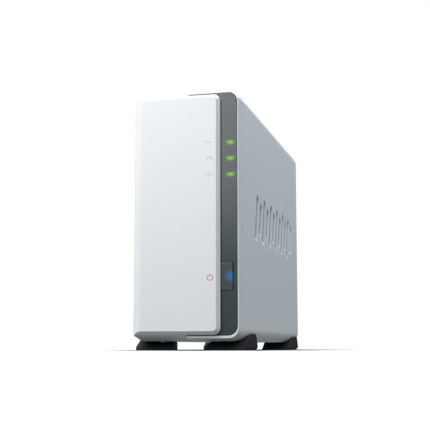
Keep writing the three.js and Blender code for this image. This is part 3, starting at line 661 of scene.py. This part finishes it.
def ease_slot_rims(piece, x):
    """Breaks the outer rims of the slots by a wider radius, which catches a bright line of light."""
    def on_rim(a, b):
        return all(abs(end.x - x) < 0.02 and SLOT_START - 12 < end.y < 90 and 68 < end.z < 110
                   for end in (a, b))
    round_edges(piece, on_rim, SLOT_RIM, 4)


carve(left, slot_cutters(-SIDE - 2, -SIDE + 4))
ease_slot_rims(left, -SIDE)


def at_front_corner(*ends):
    """Edges that run into the corners where three outlines meet stay as crisp as they were cut."""
    return any(end.x < -26 and end.y < -98 and (end.z < 20 or end.z > 152) for end in ends)


soften(left, 0.25, 2, skip=at_front_corner)
dress(left, "chassis", white_abs, "white_shell_plastic", "left_shell")

# %% [markdown]
# ## Right half: the cover
# The cover is a plain half tube with a drawn-in front rim. One inset of the front face with depth
# makes the whole tapered rim at once.

# %% Cover
RIM_INSET = 1.8
RIM_TOP_INSET = 1.2
BEZEL_RIGHT, BEZEL_LOW, BEZEL_HIGH, BEZEL_R, BEZEL_BACK = 33.0, 9.2, 163.8, 6.0, -105.8

cover = block("cover_half", (-SIDE, CREASE_Y, GAP_BELOW), (SIDE, REAR, TOP))
shape_case_corners(cover, 0.0)
pick_faces(cover, lambda centre, normal: normal.y < -0.9)
bpy.ops.mesh.inset(thickness=RIM_INSET * MM, depth=(CREASE_Y - RIM_Y) * MM)
leave_edit()
for vertex in cover.data.vertices:
    if vertex.co.y < (RIM_Y + 0.1) * MM and vertex.co.z > HALF_WAY_UP * MM:
        vertex.co.z += (RIM_INSET - RIM_TOP_INSET) * MM
slice_off(cover, (PARTING + SEAM, 0, 0), (-1, 0, 0))
hollow = block("cover_hollow", (-SIDE + WALL, BEZEL_BACK, GAP_BELOW + WALL),
               (SIDE - WALL, REAR + 5, TOP - WALL))
shape_case_corners(hollow, WALL)
carve(cover, hollow)
REBATE = 0.15
rebate = block("bezel_rebate", (-SIDE, RIM_Y - 5, BEZEL_LOW - REBATE),
               (BEZEL_RIGHT + REBATE, BEZEL_BACK + 0.1, BEZEL_HIGH + REBATE))
round_edges(rebate, lambda a, b: long_y(a, b) and a.x > 0, BEZEL_R + REBATE, 10)
carve(cover, rebate)
carve(cover, slot_cutters(SIDE - 4, SIDE + 2))
ease_slot_rims(cover, SIDE)
print("cover:", len(cover.data.polygons), "faces")

# %% [markdown]
# Two tabs fold over the rear panel's edge. Each has an open notch, so the cover comes off
# sideways past its screw.

# %% Cover tabs for the two rear screws
TAB_HALF, NOTCH_R = 6.0, 1.9
for name in ("cover_screw_1", "cover_screw_2"):
    low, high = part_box(name)
    x, z = (low.x + high.x) / 2 / MM, (low.z + high.z) / 2 / MM
    tab = block("tab", (25.6, 108.5, z - TAB_HALF), (SIDE - 1, 110, z + TAB_HALF))
    round_edges(tab, lambda a, b: long_y(a, b) and a.x < 30, 1.5, 4)
    carve(cover, tab, "UNION")
    notch = block("notch", (20, 105, z - NOTCH_R), (x, REAR, z + NOTCH_R))
    carve(cover, notch)
    carve(cover, tube_blank("notch_end", "y", NOTCH_R, (x, z), (105, REAR), 24))
soften(cover, 0.25, 2)
dress(cover, "cover", white_abs, "white_shell_plastic", "right_shell")

# %% [markdown]
# ## Dark front strip
# The strip holds the light windows and the power button. Windows and slot are carved out, so the
# seams round them are real gaps.

# %% Bezel
LIGHT_HALF_W, LIGHT_HALF_H = 2.95, 1.15
BUTTON_LOW = (20.0, -108.3, 37.1)
BUTTON_HIGH = (30.3, -105.6, 54.9)

bezel = block("front_strip", (PARTING + 0.2, RIM_Y, BEZEL_LOW), (BEZEL_RIGHT, BEZEL_BACK, BEZEL_HIGH))
round_edges(bezel, lambda a, b: long_y(a, b) and a.x > 10, BEZEL_R, 10)
carve(bezel, block("inner_part", (-30, RIM_Y, 16), (6, BEZEL_BACK, 157)), "UNION")
for z in LIGHTS_Z:
    window = block("window", (LIGHT_X - LIGHT_HALF_W, -120, z - LIGHT_HALF_H),
                   (LIGHT_X + LIGHT_HALF_W, -100, z + LIGHT_HALF_H))
    round_edges(window, along("y"), 0.5, 4)
    carve(bezel, window)
button_hole = block("button_hole", (BUTTON_LOW[0] - 0.3, -120, BUTTON_LOW[2] - 0.3),
                    (BUTTON_HIGH[0] + 0.3, -100, BUTTON_HIGH[2] + 0.3))
round_edges(button_hole, along("y"), 1.8, 6)
carve(bezel, button_hole)
soften(bezel, 0.15, 2)
dress(bezel, "chassis", grey_abs, "dark_bezel_plastic", "front_bezel")

# %% [markdown]
# The three light bars are one clear moulding, joined by a spine behind the strip. The button is a
# plate on a stem, with a round lamp pressed through it.

# %% Light bars and power button
bars = []
for z in LIGHTS_Z:
    bar = block("bar", (LIGHT_X - LIGHT_HALF_W + 0.05, RIM_Y - 0.1, z - LIGHT_HALF_H + 0.05),
                (LIGHT_X + LIGHT_HALF_W - 0.05, -98.2, z + LIGHT_HALF_H - 0.05))
    round_edges(bar, along("y"), 0.45, 4)
    bars.append(bar)
spine = block("spine", (LIGHT_X - 2.4, -102, LIGHTS_Z[0] - 0.6),
              (LIGHT_X + 2.4, -100.6, LIGHTS_Z[2] + 0.6))
light_pipe = bars[0]
for part in bars[1:] + [spine]:
    carve(light_pipe, part, "UNION")
light_pipe.name = "green_light_bars"
soften(light_pipe, 0.12, 2)
dress(light_pipe, "chassis", green_lit, "green_light_pipe", "indicator_light_pipe")

button = block("push_button", BUTTON_LOW, BUTTON_HIGH)
round_edges(button, along("y"), 1.5, 6)
stem = block("stem", (23.2, -107, 44), (26.7, -101.5, 48))
carve(button, stem, "UNION")
carve(button, tube_blank("lamp_hole", "y", 1.4, (LAMP_X, LAMP_Z), (-120, -90), 24))
soften(button, 0.35, 3)
dress(button, "power_button", button_abs, "dark_bezel_plastic", "power_button")

lamp = tube_blank("blue_lamp", "y", 1.3, (LAMP_X, LAMP_Z), (-108.35, -101.5), 24)
soften(lamp, 0.2, 2)
dress(lamp, "power_button", blue_lit, "blue_light_pipe", "power_light_pipe")

# %% [markdown]
# ## Printed marks
# The marks beside the lights and the button are pad printed: a flat ink film on the plate. The
# red one is the usual power sign, a broken ring with a bar. The three grey ones are plain
# pictograms: a pulse for the state, joined points for the network, a drive for the disk.

# %% Ink film
INK_BACK, INK_FACE = FRONT + 0.03, FRONT - 0.02


def ink_bar(name, x, z, half_length, half_width, turn=0.0):
    """One straight stroke of ink, turned about the Y axis by an angle in degrees."""
    stroke = block(name, (-half_length, INK_BACK, -half_width), (half_length, INK_FACE, half_width))
    round_edges(stroke, along("y"), half_width * 0.6, 3)
    stroke.data.transform(Matrix.Rotation(math.radians(turn), 4, "Y"))
    stroke.data.transform(Matrix.Translation((x * MM, 0, z * MM)))
    return stroke


def ink_ring(name, x, z, radius, width, sides=40):
    """A ring of ink, given by the middle of its stroke."""
    ring = tube_blank(name, "y", radius + width / 2, (x, z), (INK_FACE, INK_BACK), sides)
    carve(ring, tube_blank("ring_hole", "y", radius - width / 2, (x, z),
                           (INK_FACE - 1, INK_BACK + 1), sides))
    return ring


def unite(pieces):
    """Welds strokes that cross into one film of ink."""
    for part in pieces[1:]:
        carve(pieces[0], part, "UNION")
    return pieces[0]


def ink(name, base, tint):
    """Pad printing ink: thin, slightly uneven, a little glossier than the plastic under it."""
    return moulded_plastic(name, base, tint, 0.35, 0.25, 0.002)


red_ink = ink("red_printing_ink", "D2596C", "D9697B")
grey_ink = ink("grey_printing_ink", "C3C7CA", "CBCFD1")

SIGN_X, SIGN_Z, SIGN_R = 16.3, 45.0, 1.75
sign = ink_ring("power_sign", SIGN_X, SIGN_Z, SIGN_R, 0.5)
carve(sign, block("sign_gap", (SIGN_X - 0.75, FRONT - 1, SIGN_Z + 0.6),
                  (SIGN_X + 0.75, FRONT + 1, SIGN_Z + 3)))
sign = join([sign, ink_bar("sign_bar", SIGN_X, SIGN_Z + 1.35, 1.0, 0.24, 90)])
dress(sign, "chassis", red_ink, None)

MARK_RIGHT = 18.4
pulse = unite([
    ink_bar("state_mark", MARK_RIGHT - 5.9, LIGHTS_Z[2], 1.4, 0.17),
    ink_bar("rise", MARK_RIGHT - 4.1, LIGHTS_Z[2] + 0.45, 0.75, 0.17, -60),
    ink_bar("fall", MARK_RIGHT - 3.3, LIGHTS_Z[2] - 0.1, 1.25, 0.17, 68),
    ink_bar("back", MARK_RIGHT - 2.6, LIGHTS_Z[2] - 0.55, 0.65, 0.17, -62),
    ink_bar("rest", MARK_RIGHT - 1.2, LIGHTS_Z[2], 1.2, 0.17)])
dress(pulse, "chassis", grey_ink, None)

points = [(MARK_RIGHT - 2.2, 0.8), (MARK_RIGHT - 3.8, -0.8), (MARK_RIGHT - 0.6, -0.8)]
net = unite(
    [ink_bar("network_mark", MARK_RIGHT - 2.2, LIGHTS_Z[1], 1.6, 0.15),
     ink_bar("stem", MARK_RIGHT - 2.2, LIGHTS_Z[1] + 0.35, 0.4, 0.15, 90),
     ink_bar("left_stem", MARK_RIGHT - 3.7, LIGHTS_Z[1] - 0.35, 0.4, 0.15, 90),
     ink_bar("right_stem", MARK_RIGHT - 0.7, LIGHTS_Z[1] - 0.35, 0.4, 0.15, 90)]
    + [ink_bar(f"point_{i}", x, LIGHTS_Z[1] + z, 0.55, 0.42) for i, (x, z) in enumerate(points)])
dress(net, "chassis", grey_ink, None)

disk = block("disk_mark", (MARK_RIGHT - 4.2, INK_FACE, LIGHTS_Z[0] - 1.25),
             (MARK_RIGHT, INK_BACK, LIGHTS_Z[0] + 1.25))
round_edges(disk, along("y"), 0.5, 4)
inside = block("disk_inside", (MARK_RIGHT - 3.9, FRONT - 1, LIGHTS_Z[0] - 0.95),
               (MARK_RIGHT - 0.3, FRONT + 1, LIGHTS_Z[0] + 0.95))
round_edges(inside, along("y"), 0.3, 4)
carve(disk, inside)
disk = join([disk, ink_ring("platter", MARK_RIGHT - 2.6, LIGHTS_Z[0], 0.62, 0.26, 20),
             ink_bar("drive_lamp", MARK_RIGHT - 0.9, LIGHTS_Z[0] - 0.45, 0.26, 0.2)])
dress(disk, "chassis", grey_ink, None)

# %% [markdown]
# ## Rear panel
# The rear panel is a flat textured moulding that drops into the open end of the case. The fan
# grille is a honeycomb: one hexagonal cutter is copied over a triangular grid, so that the webs
# between the holes all have the same width.

# %% Panel with its cut-outs
PANEL_FRONT, PANEL_BACK = 106.2, 108.2
FAN_X, FAN_Z, FAN_BORE = -1.5, 125.0, 28.5
GRILLE_PITCH, GRILLE_HOLE = 5.3, 2.65
PANEL_INSET = 2.5
SOCKETS, SOCKET_GAP = ("usb_port_lower", "usb_port_upper", "lan_port", "dc_inlet"), 0.3


def middle_of(node):
    """The middle of a node's box, in millimetres."""
    low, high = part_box(node)
    return (low + high) / 2 / MM


panel = block("rear_cover", (-SIDE + PANEL_INSET, PANEL_FRONT, GAP_BELOW + PANEL_INSET),
              (SIDE - PANEL_INSET, PANEL_BACK, TOP - PANEL_INSET))
shape_case_corners(panel, PANEL_INSET)
cutters = []
for row in range(-6, 7):
    for column in range(-6, 7):
        x = (column + row / 2) * GRILLE_PITCH
        z = row * GRILLE_PITCH * math.sin(math.pi / 3)
        if math.hypot(x, z) + GRILLE_HOLE <= FAN_BORE:
            cutters.append((FAN_X + x, FAN_Z + z))
first = tube_blank("hexagon", "y", GRILLE_HOLE, cutters[0], (PANEL_FRONT - 1, PANEL_BACK + 1), 6)
copies = [first]
for x, z in cutters[1:]:
    twin = first.copy()
    twin.data = first.data.copy()
    twin.data.transform(Matrix.Translation(((x - cutters[0][0]) * MM, 0, (z - cutters[0][1]) * MM)))
    bpy.context.scene.collection.objects.link(twin)
    copies.append(twin)
carve(panel, join(copies))
print("grille:", len(cutters), "holes")

for node in SOCKETS:
    low, high = (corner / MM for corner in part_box(node))
    opening = block("opening", (low.x - SOCKET_GAP, 100, low.z - SOCKET_GAP),
                    (high.x + SOCKET_GAP, 120, high.z + SOCKET_GAP))
    round_edges(opening, along("y"), 0.4, 3)
    carve(panel, opening)
for node, radius in ([("reset_button", 1.6), ("rear_panel_screw_1", 1.9), ("rear_panel_screw_2", 1.9),
                      ("cover_screw_1", 1.9), ("cover_screw_2", 1.9)]
                     + [(f"fan_screw_{i}", 1.8) for i in (1, 2, 3, 4)]):
    place = middle_of(node)
    carve(panel, tube_blank("hole", "y", radius, (place.x, place.z), (100, 120), 24))
SLOT_ROWS, SLOT_STEP, FIRST_SLOT, SLOT_HALF_H = 8, 6.5, 30.0, 1.6
for i in range(SLOT_ROWS):
    z = FIRST_SLOT + i * SLOT_STEP
    slot = block("panel_slot", (-8, 100, z - SLOT_HALF_H), (22, 120, z + SLOT_HALF_H))
    round_edges(slot, along("y"), 1.5, 5)
    carve(panel, slot)
lock_slot = block("lock_slot", (22, 100, 12.5), (29, 120, 15.5))
round_edges(lock_slot, along("y"), 0.6, 3)
carve(panel, lock_slot)
soften(panel, 0.15, 2, angle=40)
dress(panel, "chassis", panel_abs, "dark_bezel_plastic", "rear_panel")
print("rear panel:", len(panel.data.polygons), "faces")

# %% [markdown]
# ## Sockets
# Each socket is a folded metal shell round a moulded insert. The contacts are separate strips of
# gold plated spring metal, so they are separate pieces here too.

# %% USB sockets
CONTACT_PITCH = 2.4


def usb_shapes(low, high):
    """A folded shell with spring windows, the moulded tongue inside it and four contacts."""
    shell = block("usb_shell", low, high)
    round_edges(shell, along("y"), 0.8, 4)
    cavity = block("cavity", (low.x + 0.6, 94, low.z + 0.6), (high.x - 0.6, 120, high.z - 0.6))
    round_edges(cavity, along("y"), 0.4, 3)
    carve(shell, cavity)
    for z in (low.z + 4.2, high.z - 4.2):
        carve(shell, block("spring_window", (high.x - 1.2, 98, z - 1.0), (high.x + 1, 104.5, z + 1.0)))
    soften(shell, 0.1, 2)
    tongue = block("usb_tongue", (-26.3, 93.5, low.z + 2), (-24.4, 106.6, high.z - 2))
    soften(tongue, 0.25, 3)
    contacts = []
    for i in range(4):
        z = (low.z + high.z) / 2 + (i - 1.5) * CONTACT_PITCH
        contacts.append(block("contact", (-24.5, 97, z - 0.5), (-24.25, 106.2, z + 0.5)))
    contacts = join(contacts)
    soften(contacts, 0.08, 2)
    return shell, tongue, contacts


lower = usb_shapes(*(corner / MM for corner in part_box("usb_port_lower")))
lift = (middle_of("usb_port_upper") - middle_of("usb_port_lower")) * MM
upper = []
for piece in lower:
    twin = piece.copy()
    twin.data = piece.data.copy()
    twin.data.transform(Matrix.Translation(lift))
    bpy.context.scene.collection.objects.link(twin)
    upper.append(twin)
for level, (shell, tongue, contacts) in (("lower", lower), ("upper", upper)):
    shell.name = f"usb_socket_{level}"
    tongue.name = f"usb_socket_{level}_tongue"
    contacts.name = f"usb_socket_{level}_contacts"
    dress(shell, "chassis", nickel, "port_shell_steel", f"usb_port_{level}")
    dress(tongue, "chassis", black_abs, "black_plastic")
    dress(contacts, "chassis", gold, "port_shell_steel")
print("USB sockets:", len(lower) + len(upper), "pieces")

# %% [markdown]
# The network socket has eight sprung wires, each bent up at its end by one extrusion. The power
# inlet is a moulded block with a bored barrel and a centre pin.

# %% Network and power sockets
WIRE_COUNT, WIRE_PITCH = 8, 1.02
low, high = (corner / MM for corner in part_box("lan_port"))
lan = block("network_socket", low, high)
for cut in (block("plug_room", (-27, 93, low.z + 2.2), (-18.3, 120, high.z - 2.2)),
            block("latch_room", (-19, 99, low.z + 5.2), (-16.8, 120, high.z - 5.2))):
    carve(lan, cut)
soften(lan, 0.2, 3)
dress(lan, "chassis", nickel, "port_shell_steel", "lan_port")
wires = []
for i in range(WIRE_COUNT):
    z = (low.z + high.z) / 2 + (i - (WIRE_COUNT - 1) / 2) * WIRE_PITCH
    wire = block("wire", (-26.9, 95, z - 0.2), (-26.5, 105, z + 0.2))
    pick_faces(wire, lambda centre, normal: normal.y > 0.9)
    bpy.ops.mesh.extrude_region_move(TRANSFORM_OT_translate={"value": (0.9 * MM, 1.2 * MM, 0)})
    leave_edit()
    wires.append(wire)
wires = join(wires)
wires.name = "network_socket_contacts"
soften(wires, 0.06, 2)
dress(wires, "chassis", gold, "port_shell_steel")

low, high = (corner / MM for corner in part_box("dc_inlet"))
middle = ((low.x + high.x) / 2, (low.z + high.z) / 2)
inlet = block("power_inlet", low, high)
carve(inlet, tube_blank("barrel", "y", 3.2, middle, (98, 120), 40))
soften(inlet, 0.3, 3)
dress(inlet, "chassis", black_abs, "black_plastic", "dc_inlet")
pin = tube_blank("power_inlet_pin", "y", 1.0, middle, (97, 106.5), 24)
soften(pin, 0.4, 4)
dress(pin, "chassis", nickel, "port_shell_steel")
print("network and power sockets made")

# %% [markdown]
# ## Screws
# All screws are the same pan-head kind. One is turned and cross-recessed at full size; each other
# one is a copy, scaled to its head and lengthened at its tip, and laid along its own axis.

# %% One pan-head screw
HEAD_R, HEAD_LENGTH, SHANK_R, SHANK_LENGTH = 2.6, 1.6, 1.25, 8.0

master = tube_blank("pan_head_screw", "z", HEAD_R, (0, 0), (0, HEAD_LENGTH), 40)
round_edges(master, lambda a, b: a.z > HEAD_LENGTH - 0.01 and b.z > HEAD_LENGTH - 0.01, 0.75, 5)
for turn in (0, 90):
    blade = block("driver_blade", (-1.45, -0.24, HEAD_LENGTH - 0.9), (1.45, 0.24, HEAD_LENGTH + 1))
    blade.data.transform(Matrix.Rotation(math.radians(turn), 4, "Z"))
    carve(master, blade)
carve(master, tube_blank("driver_tip", "z", 0.25, (0, 0),
                         (HEAD_LENGTH - 1.2, HEAD_LENGTH + 0.1), 16, 0.62))
shank = tube_blank("shank", "z", SHANK_R, (0, 0), (-SHANK_LENGTH, 0.2), 24)
round_edges(shank, lambda a, b: a.z < -SHANK_LENGTH + 0.01 and b.z < -SHANK_LENGTH + 0.01, 0.4, 2)
carve(master, shank, "UNION")
soften(master, 0.06, 2, angle=40)

SCREW_AXES = {"board_screw": "x", "bracket_screw": "x", "front_board_screw": "y", "fan_screw": "y",
              "rear_panel_screw": "y", "cover_screw": "y"}
for node in sorted(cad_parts):
    kind = node.rsplit("_", 1)[0]
    if kind not in SCREW_AXES:
        continue
    low, high = (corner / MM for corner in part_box(node))
    i = "xyz".index(SCREW_AXES[kind])
    across = 2 if i == 1 else 1
    scale = (high[across] - low[across]) / 2 / HEAD_R
    length = high[i] - low[i] - HEAD_LENGTH
    screw = master.copy()
    screw.data = master.data.copy()
    screw.name = f"{node}_turned"
    bpy.context.scene.collection.objects.link(screw)
    for vertex in screw.data.vertices:
        vertex.co.x *= scale
        vertex.co.y *= scale
        if vertex.co.z < -0.5 * SHANK_LENGTH * MM:
            vertex.co.z -= (length - SHANK_LENGTH) * MM
    toward = Vector((1, 0, 0)) if i == 0 else Vector((0, 1, 0))
    seat_place = (low + high) / 2
    seat_place[i] = high[i] - HEAD_LENGTH
    screw.data.transform(toward.to_track_quat("Z", "Y").to_matrix().to_4x4())
    screw.data.transform(Matrix.Translation(seat_place * MM))
    dress(screw, "chassis", zinc, "zinc_screw", node)
bpy.data.objects.remove(master, do_unlink=True)
print("screws laid in place")

# %% [markdown]
# ## Fan rotor
# The blades are thin, swept and twisted. One blade is drawn flat, divided along its length, then
# twisted and swept row by row; the other six are turned copies.

# %% Hub and blades
HUB_R, BLADE_COUNT, BLADE_TIP, BLADE_Y = 13.0, 7, 27.0, 97.6
hub = tube_blank("fan_blades", "y", HUB_R, (FAN_X, FAN_Z), (91.5, 103.7), 56)
round_edges(hub, lambda a, b: a.y < 91.6 and b.y < 91.6, 1.6, 5)
carve(hub, tube_blank("axle_hole", "y", 1.8, (FAN_X, FAN_Z), (92.6, 110), 24))
blade = block("blade", (HUB_R - 1.0, -6.0, -0.45), (BLADE_TIP, 6.0, 0.45))
round_edges(blade, lambda a, b: along("z")(a, b) and a.x > 20, 3.0, 5)
activate(blade)
bpy.ops.object.mode_set(mode="EDIT")
BLADE_ROWS = 8
row_length = (BLADE_TIP - HUB_R + 1) / BLADE_ROWS
for i in range(1, BLADE_ROWS):
    bpy.ops.mesh.select_all(action="SELECT")
    bpy.ops.mesh.bisect(plane_co=((HUB_R - 1 + i * row_length) * MM, 0, 0), plane_no=(1, 0, 0))
leave_edit()
for vertex in blade.data.vertices:
    out = (vertex.co.x / MM - HUB_R) / (BLADE_TIP - HUB_R)
    pitch = math.radians(46 - 16 * out)
    y, z = vertex.co.y, vertex.co.z
    vertex.co.y = y * math.cos(pitch) - z * math.sin(pitch)
    vertex.co.z = y * math.sin(pitch) + z * math.cos(pitch) + 2.2 * MM * out * out
blade.data.transform(Matrix.Translation((0, BLADE_Y * MM, 0)))
blades = [blade]
for i in range(1, BLADE_COUNT):
    twin = blade.copy()
    twin.data = blade.data.copy()
    twin.data.transform(Matrix.Rotation(math.tau * i / BLADE_COUNT, 4, "Y"))
    bpy.context.scene.collection.objects.link(twin)
    blades.append(twin)
blades = join(blades)
blades.data.transform(Matrix.Translation((FAN_X * MM, 0, FAN_Z * MM)))
carve(hub, blades, "UNION")
soften(hub, 0.12, 2, angle=45)
dress(hub, "fan", black_abs, "black_plastic", "fan_rotor")
print("fan:", BLADE_COUNT, "blades")

# %% [markdown]
# ## Pieces kept from the engineering model
# Boards, chips, brackets and other inner parts already have their true shape. They keep it, and
# get a rounded edge and the finish of the real part.

# %% Inner parts
KEPT = {
    galvanised: (0.18, ["drive_bracket"]),
    board_green: (0.12, ["main_board", "front_board", "sata_riser_board"]),
    chip_resin: (0.12, ["cpu_chip", "memory_chip_1", "memory_chip_2", "power_switch", "reset_switch"]),
    aluminium: (0.15, ["heatsink", "capacitor_1", "capacitor_2"]),
    cell_steel: (0.25, ["clock_battery"]),
    zinc: (0.15, ["fan_shaft"]),
    black_abs: (0.25, ["buzzer", "riser_slot", "sata_connector", "fan_frame", "reset_button",
                       "switch_plunger"]),
    white_pvc: (0.1, ["ribbon_cable", "fan_cable"]),
    green_lit: (0.12, ["disk_led", "network_led", "status_led"]),
    blue_lit: (0.12, ["power_led"]),
}
for finish, (width, names) in KEPT.items():
    for name in names:
        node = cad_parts[name]
        node.data.materials.clear()
        node.data.materials.append(finish)
        weld = node.modifiers.new("weld", "WELD")
        weld.merge_threshold = 0.005 * MM
        edge = node.modifiers.new("edge", "BEVEL")
        edge.width = width * MM
        edge.segments = 2
        edge.limit_method = "ANGLE"
        edge.angle_limit = math.radians(40)
        flats = node.modifiers.new("flats", "WEIGHTED_NORMAL")
        flats.keep_sharp = True
print("kept parts:", sum(len(names) for _, names in KEPT.values()))

# %% [markdown]
# ## Feet
# Each foot is a flared pedestal whose wing wraps up round the case's lower corner. The block is
# shaped by moving its top edges inwards and rounding them; the case's own form then carves its seat.

# %% Feet
FOOT_FRONT, FOOT_REAR, FOOT_TOP = -104.0, -58.6, 10.6
SEAT_GAP = 0.1
FRONT_LEAN, REAR_LEAN = 20.5, -6.2
SOLE_X, WING_LEAN = 34.4, -0.9
REAR_SHIFT = 169.0


def foot(name, node, body, side, shift, inner_front, inner_rear):
    """One foot; side is 1 on the right and -1 on the left, and the inner values are its inner edge."""
    piece = block(name, (5, FOOT_FRONT, 0), (36, FOOT_REAR, FOOT_TOP))
    for vertex in piece.data.vertices:
        if vertex.co.z > 0.005:
            vertex.co.y += (FRONT_LEAN if vertex.co.y < -0.08 else REAR_LEAN) * MM
    along_x = along("x")
    round_edges(piece, lambda a, b: along_x(a, b) and a.z > 5 and a.y < -75, 5.5, 8)
    round_edges(piece, lambda a, b: along_x(a, b) and a.z > 5 and a.y > -70, 2.6, 6)
    slice_off(piece, (SOLE_X, 0, 0), (FOOT_TOP, 0, WING_LEAN))
    slope = Vector((FOOT_REAR - FOOT_FRONT, inner_front - inner_rear, 0)).normalized()
    slice_off(piece, (inner_front, FOOT_FRONT, 0), (-slope.x, -slope.y, 0))
    piece.data.transform(Matrix.Translation((0, shift * MM, 0)))
    if side < 0:
        piece.data.transform(Matrix.Scale(-1, 4, (1, 0, 0)))
        piece.data.flip_normals()
    seat = block("seat", (-SIDE - SEAT_GAP, -130, GAP_BELOW - SEAT_GAP), (SIDE + SEAT_GAP, 130, TOP))
    shape_case_corners(seat, -SEAT_GAP)
    carve(piece, seat)
    soften(piece, 0.5, 3, angle=32)
    return dress(piece, body, foot_rubber, "foot_rubber", node)


foot("front_right_foot", "foot_front_right", "cover", 1, 0, 9.2, 20.0)
foot("rear_right_foot", "foot_rear_right", "cover", 1, REAR_SHIFT, 13.5, 13.5)
foot("front_left_foot", "foot_front_left", "chassis", -1, 0, 9.2, 20.0)
foot("rear_left_foot", "foot_rear_left", "chassis", -1, REAR_SHIFT, 13.5, 13.5)
print("feet:", 4)
